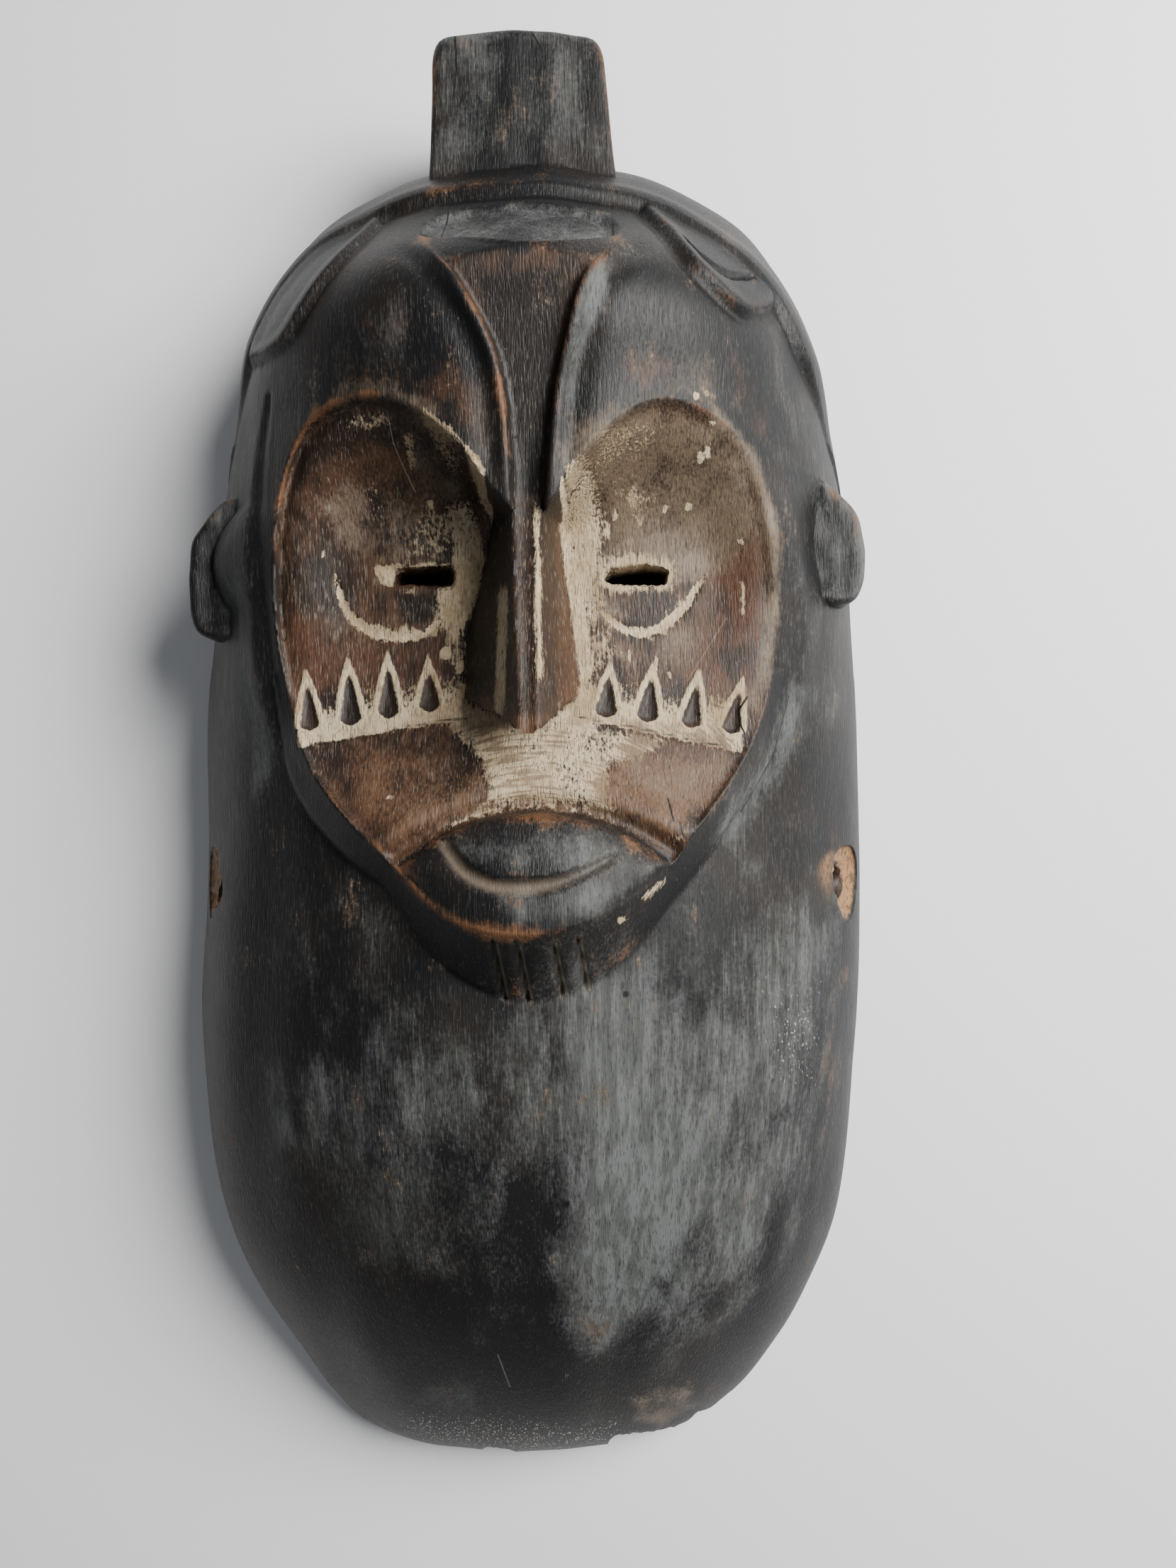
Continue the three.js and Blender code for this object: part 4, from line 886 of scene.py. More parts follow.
# Paint and wear, as areas of the plan: an outline, how strong it is, and how wide its edge is.
CREAM_AREAS = [
    ([(-10.6, 72.5), (-5.0, 71.5), (-3.4, 62), (-5.6, 59.5), (-8.6, 64)], 0.98, 1.0),
    ([(-19, 81), (-10.2, 74.4), (-8.4, 70), (-13.5, 73.0), (-19.8, 78.0)], 0.66, 1.4),
    ([(-17, 64), (-10.8, 64.5), (-7.8, 54), (-9.6, 44), (-14, 33), (-17.6, 33), (-15.6, 41), (-15.8, 52)],
      0.92, 2.2),
    ([(-19.8, 46), (-13.2, 47), (-12.6, 37.5), (-18, 35.5), (-20.6, 39.5)], 0.78, 1.6),
    ([(-34.6, 51.2), (-28, 51.7), (-15.4, 51.4), (-16.4, 50.8), (-28.8, 50.8), (-29.8, 46.2), (-32.4, 47)],
      0.92, 0.5),
    ([(-26, 60), (-20.5, 64), (-15, 62), (-14, 52), (-20, 51.6), (-28, 53)], 0.56, 3.5),
    ([(-36, 68), (-31.5, 69), (-30, 61), (-35, 59)], 0.50, 2.6),
    ([(-25, 78), (-22, 78), (-22.4, 71), (-24.6, 71)], 0.60, 1.2),
    ([(-19, 62), (-16, 63), (-15, 56), (-18, 55)], 0.62, 1.6),
    ([(-18.6, 77), (-14.4, 77), (-9.6, 70), (-15, 69)], 0.56, 1.6),
    ([(-40, 82.4), (-29, 82.2), (-26, 79.4), (-39.5, 79)], 0.56, 1.2),
    ([(-28, 46), (-24, 46.2), (-24.6, 44.2), (-27, 44.4)], 0.62, 0.8),
    ([(-34, 38.4), (-36.8, 36), (-33.6, 33.6), (-20, 34), (-17.6, 37), (-24, 36.2), (-27, 37.6),
      (-29, 36.2)], 0.74, 0.9),
    ([(-16.5, 37), (-12.4, 36), (-13.4, 26), (-17, 27), (-18, 33)], 0.60, 2.0),
    ([(8.6, 67), (10.6, 66), (13.8, 46), (17.0, 26), (13.8, 22), (11.6, 40), (9.6, 55)], 1.05, 0.9),
    ([(10, 69.5), (17, 70), (20.5, 60), (19.6, 52), (17.6, 46), (19, 42), (16.5, 34), (14.4, 28),
      (11.6, 48)], 0.80, 3.4),
    ([(17.6, 53), (26, 54), (36.2, 52), (35.6, 43.8), (20, 43.4), (17.6, 46.6)], 0.74, 2.0),
    ([(16, 38), (21, 36.4), (23, 30), (19, 25), (14.8, 25)], 0.60, 3.0),
    ([(31, 38.6), (36, 37.6), (41, 43.6), (38.4, 44.4), (34, 41)], 0.62, 1.2),
    ([(27.5, 35.8), (30, 32.4), (31.4, 32.6), (29.8, 36.2)], 0.76, 0.6),
    ([(31.0, 36.8), (33, 33.6), (34.4, 34), (33.2, 37.6)], 0.74, 0.6),
    ([(13.6, 60.5), (19.0, 60), (19.0, 54.8), (14, 55)], 0.92, 1.0),
    ([(-13.6, 19), (-8.6, 18.4), (2.6, 13), (9.9, 18.4), (14.6, 20), (19, 13), (34, 10), (30, 7.2),
      (20.4, 4), (18.4, -2), (22, -6.6), (12, -4.6), (1.7, -4.0), (-9, -4.6), (-7.4, -0.6), (-9.4, 5),
      (-15.4, 11.6), (-17, 14)], 0.84, 2.6),
    ([(-17, -8.4), (-9, -5.4), (1.7, -4.4), (12, -5.2), (24, -9.4), (32, -14.6), (30, -16.6), (19, -10.6),
      (8, -7.8), (-6, -7.2), (-17, -10.2)], 0.78, 1.2),
    ([(51.0, 47), (52.2, 45), (52.0, 38.6), (50.9, 38.4)], 0.90, 0.5),
    ([(22.8, 66.2), (30.8, 65.6), (30.2, 64.0), (23.6, 64.2)], 0.54, 0.9),
    ([(26, 61.6), (29.4, 61.6), (29.2, 58.2), (26.8, 58.2)], 0.50, 1.4),
    ([(15, 74), (24, 78), (34, 79), (30, 74), (20, 70)], 0.44, 3),
    ([(20, 66), (26, 70), (34, 66), (28, 60)], 0.40, 3),
    ([(34, 95.5), (41, 95.5), (48.5, 86), (42, 85), (37, 90)], 0.70, 2.4),
    ([(32.5, -15.8), (36.5, -12.6), (39.6, -8.8), (37.2, -8.4), (33.4, -12)], 0.50, 1.2),
    ([(26, -160), (33, -158), (39, -161), (38, -166), (28, -167)], 0.42, 4.0),
    ([(25.4, -24.6), (29.0, -21.6), (33.4, -19.4), (31.4, -23.0), (27.6, -26.0)], 0.85, 1.4),
    ([(20.6, -29.6), (22.4, -28.4), (23.0, -29.6), (21.2, -30.8)], 1.0, 0.5),
]
# Single spots of cream: where they are, and their half sizes across and up.
CREAM_SPOTS = [
    (41.2, 73.0, 0.8, 1.3), (42.9, 74.0, 0.8, 1.3), (38.8, 63.4, 0.7, 1.0), (33.6, 63.0, 0.6, 0.9),
    (39.9, 84.4, 0.6, 1.1), (19.0, 79.4, 1.2, 1.1), (51.2, 55.4, 0.7, 0.6), (20.4, 58.2, 0.5, 1.6),
    (-20.1, 64.4, 0.5, 1.0), (-29.4, -2.2, 0.6, 0.6), (43.6, 79.6, 0.4, 0.6), (22.2, 61.2, 0.5, 1.2),
    (-45.6, 54.0, 0.4, 0.8), (30.6, 22.6, 0.4, 0.5), (34, 25, 0.4, 0.7), (-34.6, 90.6, 0.7, 0.8),
    (24.8, 29.6, 0.5, 1.3), (31, 27.6, 0.4, 1.6), (-17.4, 30.4, 1.3, 1.4), (-14.0, 27.2, 0.9, 1.2),
]
# Thin films of old paint and dust, and sooty places, in part painted shade.
FILM_AREAS = [
    ([(10, 72), (20, 81), (40, 82), (52, 74), (56, 60), (50, 50), (38, 46), (18, 44), (10, 52)], 0.86, 5),
    ([(20, 45), (38, 45), (42, 32), (34, 24), (20, 26), (16, 38)], 0.50, 4),
    ([(-47, 66), (-36, 70), (-22, 64), (-15, 58), (-16, 50), (-30, 52), (-44, 56)], 0.66, 4),
    ([(-26, 80), (-13, 72), (-10, 62), (-16, 62), (-24, 70)], 0.62, 3),
    ([(20, 8), (48, 5), (44, -2), (34, -12), (22, -4)], 0.80, 4),
    ([(-46, 9), (-20, 8), (-12, 0), (-22, -9), (-34, -8)], 0.56, 4),
    ([(35, 95), (45, 95), (51, 83), (43, 81), (36, 85)], 0.52, 3),
    ([(-22, 2), (-8, 4), (22, 4), (32, -8), (26, -14), (0, -5), (-20, -9), (-30, -12)], 0.72, 3),
    ([(-40, 90), (-26, 88), (-14, 80), (-18, 76), (-30, 81), (-42, 82)], 0.55, 2),
    ([(24, -156), (32, -153), (40, -157), (42, -166), (32, -171), (24, -167)], 0.75, 3),
    ([(-15, 24), (-6, 22), (6, 14), (16, 24), (18, 36), (-16, 36)], 0.2, 3),
    ([(44, 84), (55, 74), (61, 54), (59.5, 30), (54, 15), (51.6, 18), (56, 36), (56.6, 52), (52, 68),
      (42, 79)], 0.95, 2),
]
# Soot, and painted shade beside the left of the nose, under the left brow, on the forehead panel, over the
# left of the hair and over the left and the lower end of the beard.
SOOT_AND_SHADE_AREAS = [
    # Under the left brow: soot and painted shade.
    ([(-53, 64), (-51, 78), (-40, 83.6), (-26, 82.8), (-12, 73), (-9, 64), (-14, 67), (-22, 74), (-34, 77),
      (-45, 73)], 0.60, 1.8),
    # The left side of the nose: painted shade.
    ([(1, 66), (-1.5, 44), (-2.5, 17), (-16, 17), (-14, 34), (-10, 50), (-5, 62)], 0.90, 1.2),
    ([(-30, 45), (-17, 45), (-17, 38), (-26, 37)], 0.70, 2),
    ([(-3, 60), (9, 60), (9, 14), (-3, 14)], 0.52, 1.5),
    ([(-54, 54), (-42, 56), (-36, 50), (-40, 40), (-54, 40)], 0.62, 4),
    ([(-30, -30), (0, -33), (32, -26), (24, -42), (0, -50), (-20, -42)], 0.60, 3),
    # The left of the beard: painted shade.
    ([(-60, -86), (-16, -90), (-10, -110), (-20, -150), (-70, -130), (-84, -60), (-74, -46)], 0.74, 12),
    # The lower end of the beard: painted shade.
    ([(-20, -150), (40, -146), (44, -176), (-30, -182)], 0.75, 10),
    # The forehead panel: soot and painted shade.
    ([(-7, 108), (11, 108), (9, 84), (6, 62), (-1, 62), (-3, 88)], 0.95, 2),
    # The left of the hair: painted shade.
    ([(-78, 84), (-66, 116), (-40, 140), (0, 148), (0, 138), (-30, 133), (-54, 118), (-66, 96)], 0.70, 3),
    ([(28, 128), (46, 122), (62, 104), (58, 92), (44, 100), (30, 112)], 0.45, 5),
    ([(-36, 112), (-22, 116), (-18, 104), (-28, 98)], 0.5, 5),
]
# Worn arrises: a line, its half width and how worn it is.
ARRISES = [
    ([(-20, 121), (-15.2, 113), (-10.4, 105.6), (-4.1, 93), (-1.7, 82), (-0.9, 70)], 1.1, 0.50),
    ([(24, 120), (15.6, 106.2), (12, 95), (9.3, 84)], 0.9, 0.38),
    ([(-54.5, 66), (-48, 80), (-42, 83.8), (-36, 85.0), (-30, 84.6)], 2.0, 0.56),
    ([(60.6, 57), (60.8, 47)], 1.2, 0.5),
    ([(39, 83), (50, 77.5), (57, 64.5)], 1.1, 0.40),
    ([(-33.4, 121), (-38.4, 113), (-43.6, 107), (-49.6, 101.6)], 1.3, 0.46),
    ([(33.6, 124.4), (36.2, 117.7), (39.6, 112), (45.5, 107.2), (52.1, 104.7)], 1.1, 0.42),
    ([(-26.5, -16.5), (-17, -10.4), (-8.8, -7.6), (1.7, -6.8), (10.2, -7.6), (19.1, -10.4), (26, -13.4),
      (32, -17)], 1.8, 0.36),
    ([(-26.5, -18.4), (-21.4, -24.2), (-14.6, -28.8), (-7.2, -31.0), (1.7, -31.4), (7.8, -30.8)], 2.6,
      0.47),
    ([(-50, 7), (-43, -1.5), (-32.5, -12.2), (-26, -17.8)], 1.1, 0.46),
    ([(20, 181), (21.6, 172), (22.6, 160), (23.8, 148)], 1.2, 0.50),
    ([(-19.8, 179), (-20, 168), (-20.6, 158)], 1.3, 0.46),
    ([(30, -26), (26, -33.5), (21, -38.5), (16, -42)], 2.6, 0.26),
    ([(-46, -168), (-38, -176), (-28, -181), (-16, -183)], 2.0, 0.50),
]
# Red-brown stain, and grey dust. The grey is also a painted sheen on the right of the beard and the right
# ear, a painted reflection down the right flank and the left temple, and painted light on the crescent, the
# strip right of the panel and the top of the crest.
RED_AREAS = [
    ([(-53, 40), (-40, 32), (-24, 32), (-17, 30), (-18, 20), (-52, 22)], 0.95, 3),
    ([(44, 58), (55, 56), (57, 34), (50, 18), (40, 24), (43, 40)], 0.95, 4),
    ([(-52, 72), (-40, 74), (-34, 62), (-48, 58)], 0.62, 5),
    ([(-40, 92), (-20, 90), (-8, 84), (-6, 72), (-12, 78), (-24, 85), (-38, 87)], 0.70, 4),
    ([(-8, 112), (10, 112), (8, 62), (0, 62)], 0.55, 3),
    ([(-46, 10), (-20, 8), (-14, -4), (-28, -14), (-40, -6)], 0.62, 4),
    ([(26, 8), (48, 6), (40, -6), (30, -12), (22, -4)], 0.85, 4),
    ([(9, 58), (13, 46), (15, 22), (6, 14), (5, 50)], 0.30, 1.5),
    ([(46, 96), (58, 90), (56, 80), (46, 84)], 0.6, 4),
    ([(-33, 104), (-24, 104), (-22, 96), (-31, 94)], 0.75, 3),
    ([(24, 90), (34, 91), (34, 85), (26, 83)], 0.62, 3),
    ([(-66, -90), (-40, -90), (-36, -150), (-60, -140)], 0.36, 10),
    ([(16, -30), (30, -24), (28, -34), (16, -42)], 0.5, 3),
]
DUST_AND_SHEEN_AREAS = [
    # The crescent and the strip right of the panel: dust and painted light.
    ([(-20, 131), (2, 134), (22, 131), (24, 121), (13, 116.4), (2, 114.6), (-10, 118), (-21, 122.5)], 0.66,
      1.2),
    ([(19, 112), (21, 104), (16, 92), (12, 80), (10.2, 84), (13, 96), (16.6, 107)], 0.52, 1.2),
    # The right of the beard: dust and a painted sheen.
    ([(0, -34), (80, -34), (76, -120), (30, -140), (4, -140)], 0.66, 18),
    ([(8, -52), (42, -50), (52, -90), (40, -132), (14, -136), (2, -100)], 0.92, 14),
    # Down the right flank: a painted reflection over dust.
    ([(60, 110), (76, 92), (84, 50), (78, 10), (62, 12), (64, 60), (56, 92)], 0.28, 6),
    ([(30, 128), (60, 116), (70, 92), (54, 84), (34, 92), (22, 104)], 0.12, 8),
    # Down the left temple: a painted reflection over dust.
    ([(-68, 98), (-63, 80), (-64, 30), (-58, 6), (-66, -4), (-76, 40), (-78, 80)], 0.80, 3),
    ([(62, 24), (54, 4), (40, -14), (48, -16), (62, 2), (70, 24)], 0.56, 3),
    ([(-20, 180), (20, 180), (22, 150), (-20, 150)], 0.36, 6),
    # The top of the crest: dust and painted light.
    ([(-20, 183), (20, 183), (20, 178), (-20, 178)], 0.62, 2),
    ([(-60, 118), (-40, 132), (0, 140), (40, 134), (60, 116), (56, 112), (36, 128), (0, 134), (-36, 130),
      (-56, 114)], 0.16, 3),
    ([(-40, 96), (-22, 104), (-14, 92), (-20, 86), (-38, 90)], 0.24, 4),
    ([(-36, -150), (-16, -146), (-12, -160), (-32, -162)], 0.50, 8),
    ([(-58, -40), (-20, -50), (0, -56), (2, -130), (-14, -138), (-34, -112), (-56, -84)], 0.42, 14),
    ([(-64, -66), (-57, -62), (-55, -84), (-62, -86)], 0.7, 3),
    ([(-52, -60), (-46, -58), (-44, -76), (-50, -78)], 0.6, 3),
    ([(-66, -64), (-58, -60), (-56, -84), (-64, -86)], 0.45, 5),
    ([(-24, -52), (44, -44), (44, -62), (-6, -66)], 0.40, 9),
    ([(-8, -22), (24, -20), (30, -18), (16, -28), (0, -30)], 0.70, 3),
    ([(-18, -12), (20, -10), (24, -18), (8, -20), (-12, -16)], 0.55, 3),
]
# Dust with a painted sheen on the right ear alone: how strong, and between which places along y.
EAR_DUST_AND_SHEEN = {"strength": 0.66, "low": 42, "high": 76}
# Small white grit.
GRIT_AREAS = [
    ([(-38, -174), (-8, -182), (22, -178), (20, -164), (-10, -160), (-34, -160)], 0.75, 6),
    ([(56, -48), (70, -52), (70, -74), (58, -70)], 0.5, 6),
]
# Straight scratches and cracks, and nail holes as very short ones, and painted light down the chin cuts:
# start, end, half width, and how pale (+) or dark (-) each is.
STROKES = [
    ((-27.8, 82.0), (-27.2, 76.5), 0.17, 0.5), ((-27.2, 76.5), (-25.8, 72.5), 0.17, 0.5),
    ((-25.8, 72.5), (-23.4, 67), 0.17, 0.5), ((47.6, 38), (38.2, 23.4), 0.20, 0.18),
    ((62.6, 20), (58.6, 6), 0.22, -0.7), ((58.6, 6), (50.4, -7), 0.22, -0.7),
    ((-60.6, 32), (-57.8, 15), 0.24, -0.8), ((-57.8, 15), (-50.5, -1), 0.24, -0.8),
    ((-15, 137), (-15.8, 119.5), 0.28, -0.9), ((22.6, 137), (22.2, 120), 0.28, -0.9),
    ((18.6, 100), (18.2, 83), 0.24, -0.8), ((-14.6, 182), (-14.2, 172), 0.32, -1),
    ((-14.2, 172), (-15.2, 165), 0.24, -1), ((3.4, 182), (6.4, 176.5), 0.32, -1),
    ((6.4, 176.5), (6.0, 170), 0.24, -1), ((32.8, -3.6), (33.8, -8.4), 0.34, -1),
    ((35.2, -8.8), (35.8, -11.6), 0.3, -0.9), ((52.0, 19.6), (49.8, 16.4), 0.36, -1),
    ((49.8, 16.4), (50.2, 13.0), 0.44, -1), ((50.2, 13.0), (51.6, 9.8), 0.3, -1),
    # The four pale strokes along the chin cuts below are painted light on one wall of each cut.
    ((-8.6, -137), (-6.2, -148), 0.24, 0.3), ((-4.9, -34), (-3.3, -46.6), 0.42, 0.34),
    ((0.2, -34.2), (1.9, -46.8), 0.42, 0.34), ((7.7, -34), (9.6, -46.4), 0.42, 0.34),
    ((13.1, -33.6), (14.7, -45.6), 0.42, 0.34), ((1.2, 84), (1.4, 84), 0.8, -1),
    ((8.5, -95.4), (8.7, -95.4), 1.2, -1), ((22.8, -47.2), (22.8, -47), 1.0, -1),
    ((-17, -48.6), (-16.8, -48.6), 0.8, -0.9), ((40.6, 15.6), (40.7, 15.6), 0.6, -1),
]


def covered(x, y, areas):
    """How strongly a set of areas covers each point: the strongest of strength * ramp over the edge."""
    best = np.zeros(np.shape(x))
    for outline, strength, edge in areas:
        depth = inside(x, y, np.array(outline, float), edge + 1)
        best = np.maximum(best, strength * ramp(-edge, edge, depth))
    return best


def cloud(points, sizes, seed, octaves=4):
    """Cloudy unevenness between about 0 and 1: random numbers on a lattice whose cells measure sizes, mixed
    smoothly between its corners, plus finer ones at half the size and 0.6 of the strength each time."""
    total, weight = 0.0, 0.0
    for octave in range(octaves):
        table = np.random.default_rng(seed + octave).random((32, 32, 32))
        at = points / (np.array(sizes, float) / 2 ** octave)
        low = np.floor(at).astype(int)
        t = at - low
        t = t * t * (3 - 2 * t)
        value = np.zeros(len(points))
        for corner in np.ndindex(2, 2, 2):
            share = np.prod(np.where(corner, t, 1 - t), axis=1)
            value += share * table[tuple(((low + corner) % 32).T)]
        total = total + value * 0.6 ** octave
        weight += 0.6 ** octave
    return np.clip(0.5 + 1.25 * (total / weight - 0.5), 0, 1)


def drop_band(x, y):
    """Cream between the drops: full at the line below them, thinning out with the height over it, and a few
    short drips under it."""
    band = np.zeros(x.shape)
    for line in DROP_LINES:
        places, heights = np.array(line).T
        above = y - np.interp(x, places, heights)
        over = np.clip(1.22 - 0.082 * above, 0, 1) * ramp(-0.5, 0.1, above)
        under = 0.44 * ramp(-2.4, -0.3, above) * (above < 0)
        ends = ramp(places[0] - 0.8, places[0] + 0.4, x) * (1 - ramp(places[-1] - 0.4, places[-1] + 1.2, x))
        band = np.maximum(band, (over + under) * ends)
    return band


def bow_field(x, y):
    """How far inside the painted line of a bow a point is. Its half width is 0.3 + 1.1 * sin(pi t)^0.7."""
    field = np.full(x.shape, -3.0)
    for line in EYE_BOWS:
        away, along, _ = reach(x, y, flow(line), 5)
        width = 0.30 + 1.10 * np.sin(math.pi * np.clip(along, 0, 1)) ** 0.7
        field = np.maximum(field, width - away)
    return field


def drop_line_distance(x, y):
    """Distance to the nearer of the lines under the drops, up to 3 mm."""
    nearest = np.full(x.shape, 3.0)
    for line in DROP_LINES:
        nearest = np.minimum(nearest, reach(x, y, flow(line), 3)[0])
    return nearest


def worn_arrises(x, y):
    """Wear along the arrises: full to 0.3 of the half width from the line, and none from 1.3 of it."""
    worn = np.zeros(x.shape)
    for line, width, strength in ARRISES:
        away = reach(x, y, flow(line), width * 3)[0]
        worn = np.maximum(worn, strength * np.clip(1.3 - away / width, 0, 1))
    return worn


def nose_cover(x, y, z):
    """1 on the nose and 0 beside it: over the floor of the face, and between the two feet."""
    left_foot, right_foot = (profile([(row[0], row[k]) for row in NOSE_ROWS], y) for k in (1, 4))
    nose = ramp(-0.6, 0.2, z - floor_height(x, y) - 2.4)
    nose = nose * ramp(-0.6, 0.3, x - left_foot) * ramp(-0.6, 0.3, right_foot - x)
    return nose * ramp(7, 8, y) * (1 - ramp(64, 72, y))


def cream_cover(x, y, face, mouth, nose):
    """Where cream paint is left: its areas and spots, off the nose and the mouth, and a line on each arris
    of the nose."""
    cream = np.maximum(covered(x, y, CREAM_AREAS), drop_band(x, y))
    for sx, sy, across, up in CREAM_SPOTS:
        cream = np.maximum(cream, 1.25 * ramp(1.35, 0.75, np.hypot((x - sx) / across, (y - sy) / up)))
    right = 1 - ramp(0.35, 1.35, np.abs(x - 5.0 + 0.012 * (y - 40)))
    right = right * ramp(16, 26, y) * (1 - ramp(56, 64, y))
    left = 1 - ramp(0.7, 2.2, np.abs(x + 3.4 - 0.04 * (y - 20)))
    left = left * ramp(12, 17, y) * (1 - ramp(40, 46, y))
    beyond = 3 * (y > 84) + 9 * (y < -60) + 12 * ((x > 15) & (y < -16))
    cream = cream * (1 - nose) * ramp(-2.6, -0.8, face + beyond)
    cream = np.maximum(cream, np.maximum(0.86 * (right * nose), 0.92 * (left * nose)))
    return cream * (1 - ramp(-1.2, -0.2, mouth))


def groove_painted_light(x, y):
    """Painted light: pale in the smile groove, thinner towards its right end, and beside each cut of the
    chin.
    """
    groove, along, _ = reach(x, y, flow(SMILE_LINE), 4)
    groove = ramp(1.9, 0.9, groove) * (1 - 0.8 * ramp(0.45, 0.85, along))
    for start, end in CHIN_CUTS:
        groove = np.maximum(groove, 0.5 * ramp(1.0, 0.4, reach(x - 0.5, y, np.array([start, end]), 3)[0]))
    return groove


def raw_cover(x, y, z, depth):
    """Bare wood: in the broken hollows round the cord holes, and in one chip at the end of the beard."""
    raw = np.zeros(x.shape)
    for chip in HOLE_CHIPS:
        middle = (chip["ends"][0] + chip["ends"][1]) / 2
        half = (chip["ends"][1] - chip["ends"][0]) / 2
        q = np.hypot((y - middle) / half, (z - chip["z"]) / (chip["half_height"] * 1.05))
        raw = np.maximum(raw, ramp(1.12, 0.95, q) * ramp(0.15, 0.5, depth) * (x * chip["side"] > 40))
    return np.maximum(raw, ramp(2.6, 1.2, np.hypot((x + 18.5) / 1.2, y + 181.5)) * (z > 2))


def painted_shade_cover(x, y, z, depth):
    """Painted shade: in the cuts of the chin, and inside the cord holes."""
    painted_shade = np.zeros(x.shape)
    for start, end in CHIN_CUTS:
        away = reach(x + 0.4, y, np.array([start, end]), 3)[0]
        painted_shade = np.maximum(painted_shade, 0.4 * np.clip(1.3 - away / 0.6, 0, 1))
    hole = np.hypot(y - CORD_HOLE["y"], z - CORD_HOLE["z"])
    return np.maximum(painted_shade, (1 - ramp(4.6, 5.6, hole)) * ramp(1.2, 2.4, depth) * (np.abs(x) > 55))


def dust_and_sheen_cover(x, y, face, mouth, depth):
    """Grey dust, in places with painted sheen, reflection and light: its areas, thinner in the face, and the
    right ear, which stands out of the plain shell.
    """
    ear = EAR_DUST_AND_SHEEN["strength"] * ramp(0.4, 1.4, -depth) * (x > 60)
    ear = ear * ramp(-1.5, 1.5, y - EAR_DUST_AND_SHEEN["low"]) * ramp(-1.5, 1.5, EAR_DUST_AND_SHEEN["high"] - y)
    dust_and_sheen = np.maximum(covered(x, y, DUST_AND_SHEEN_AREAS), ear)
    return dust_and_sheen * (1 - 0.7 * ramp(-1, 2, face) * (1 - ramp(-0.6, 0.4, mouth)))


def surface_marks(x, y, z, normal):
    """Every named amount that the finish reads, worked out at each point of the mesh. Depth is how far a
    point is under the side of the plain shell."""
    front = ramp(44, 52, z) * ramp(-0.2, 0.1, normal[:, 2])
    face, mouth, nose = inside_smooth(x, y, FACE_OUTLINE), inside(x, y, mouth_outline()), nose_cover(x, y, z)
    depth = OUTSIDE.side(y, np.clip(z, 0, 60)) - np.abs(x - profile(MIDDLE_LINE, y))
    panel = inside_smooth(x, y, PANEL_OUTLINE, 4)
    brown = ramp(-0.6, 0.8, face) * (1 - ramp(-0.6, 0.4, mouth))
    brown = np.maximum(brown, 0.55 * ramp(-0.6, 0.6, panel) * (y < 112))
    points = np.stack([x, y, z], -1)
    return {
        "cream": cream_cover(x, y, face, mouth, nose) * front,
        "bow": np.where(front > 0.5, bow_field(x, y), -3),
        "drop": np.where(front > 0.5, drop_field(x, y), -6),
        "incised": np.where(front > 0.5, drop_line_distance(x, y), 3),
        "film": covered(x, y, FILM_AREAS) * (1 - ramp(-0.8, 0.2, mouth)) * (1 - 0.8 * nose),
        "soot_and_shade": covered(x, y, SOOT_AND_SHADE_AREAS),
        "worn": worn_arrises(x, y),
        "painted_shade": painted_shade_cover(x, y, z, depth),
        "red": covered(x, y, RED_AREAS),
        "dust_and_sheen": dust_and_sheen_cover(x, y, face, mouth, depth),
        "grit": covered(x, y, GRIT_AREAS),
        "face": np.where(front > 0.5, brown, 0),
        # groove is painted light in the smile groove and beside the chin cuts.
        "groove": groove_painted_light(x, y),
        "sweep": y - lip_edge(LIP_TOP, x)[0],
        "brushed": ramp(16, 11, y) * ramp(-0.6, 0.8, face) * (1 - ramp(-1.2, 0, mouth)) * (1 - nose),
        "inner": (z < HOLLOW.height(x, y) + 1.8).astype(float),
        "raw": raw_cover(x, y, z, depth),
        "blotch": cloud(points, (17, 34, 17), 51),
        "patch": cloud(points, (6.5, 10, 6.5), 61),
    }


# How many millimetres a point stands proud where its edge is fully worn.
FULLY_PROUD = 0.12


def edge_wear(mesh):
    """How proud each point stands of the mean of its neighbours over a few rings, along its normal, in
    millimetres: positive on edges and negative in hollows. Gives the points, their normals and that."""
    count = len(mesh.vertices)
    points = np.empty(count * 3, np.float32)
    normals = np.empty(count * 3, np.float32)
    edges = np.empty(len(mesh.edges) * 2, np.int32)
    mesh.vertices.foreach_get("co", points)
    mesh.vertices.foreach_get("normal", normals)
    mesh.edges.foreach_get("vertices", edges)
    points, normals, edges = points.reshape(-1, 3).astype(float), normals.reshape(-1, 3), edges.reshape(-1, 2)
    near = np.maximum(np.bincount(edges.ravel(), minlength=count), 1)

    def around(values):
        """The mean of each point's neighbours."""
        total = np.bincount(edges[:, 0], values[edges[:, 1]], count)
        total = total + np.bincount(edges[:, 1], values[edges[:, 0]], count)
        return total / near

    mean = points.T
    for _ in range(4):
        mean = np.array([0.5 * row + 0.5 * around(row) for row in mean])
    out = np.sum((points - mean.T) * normals, axis=1) / MM
    for _ in range(2):
        out = 0.5 * out + 0.5 * around(out)
    return points, normals, out


def mark_surface(piece):
    """Writes the named amounts into the mesh as point attributes."""
    mesh = piece.data
    points, normals, proud = edge_wear(mesh)
    x, y, z = (points / MM - SHIFT).T
    marks = surface_marks(x, y, z, normals)
    marks["proud"] = np.clip(proud / FULLY_PROUD, -1, 1)
    for name, values in marks.items():
        attribute = mesh.attributes.new(name, "FLOAT", "POINT")
        attribute.data.foreach_set("value", np.ascontiguousarray(values, np.float32))


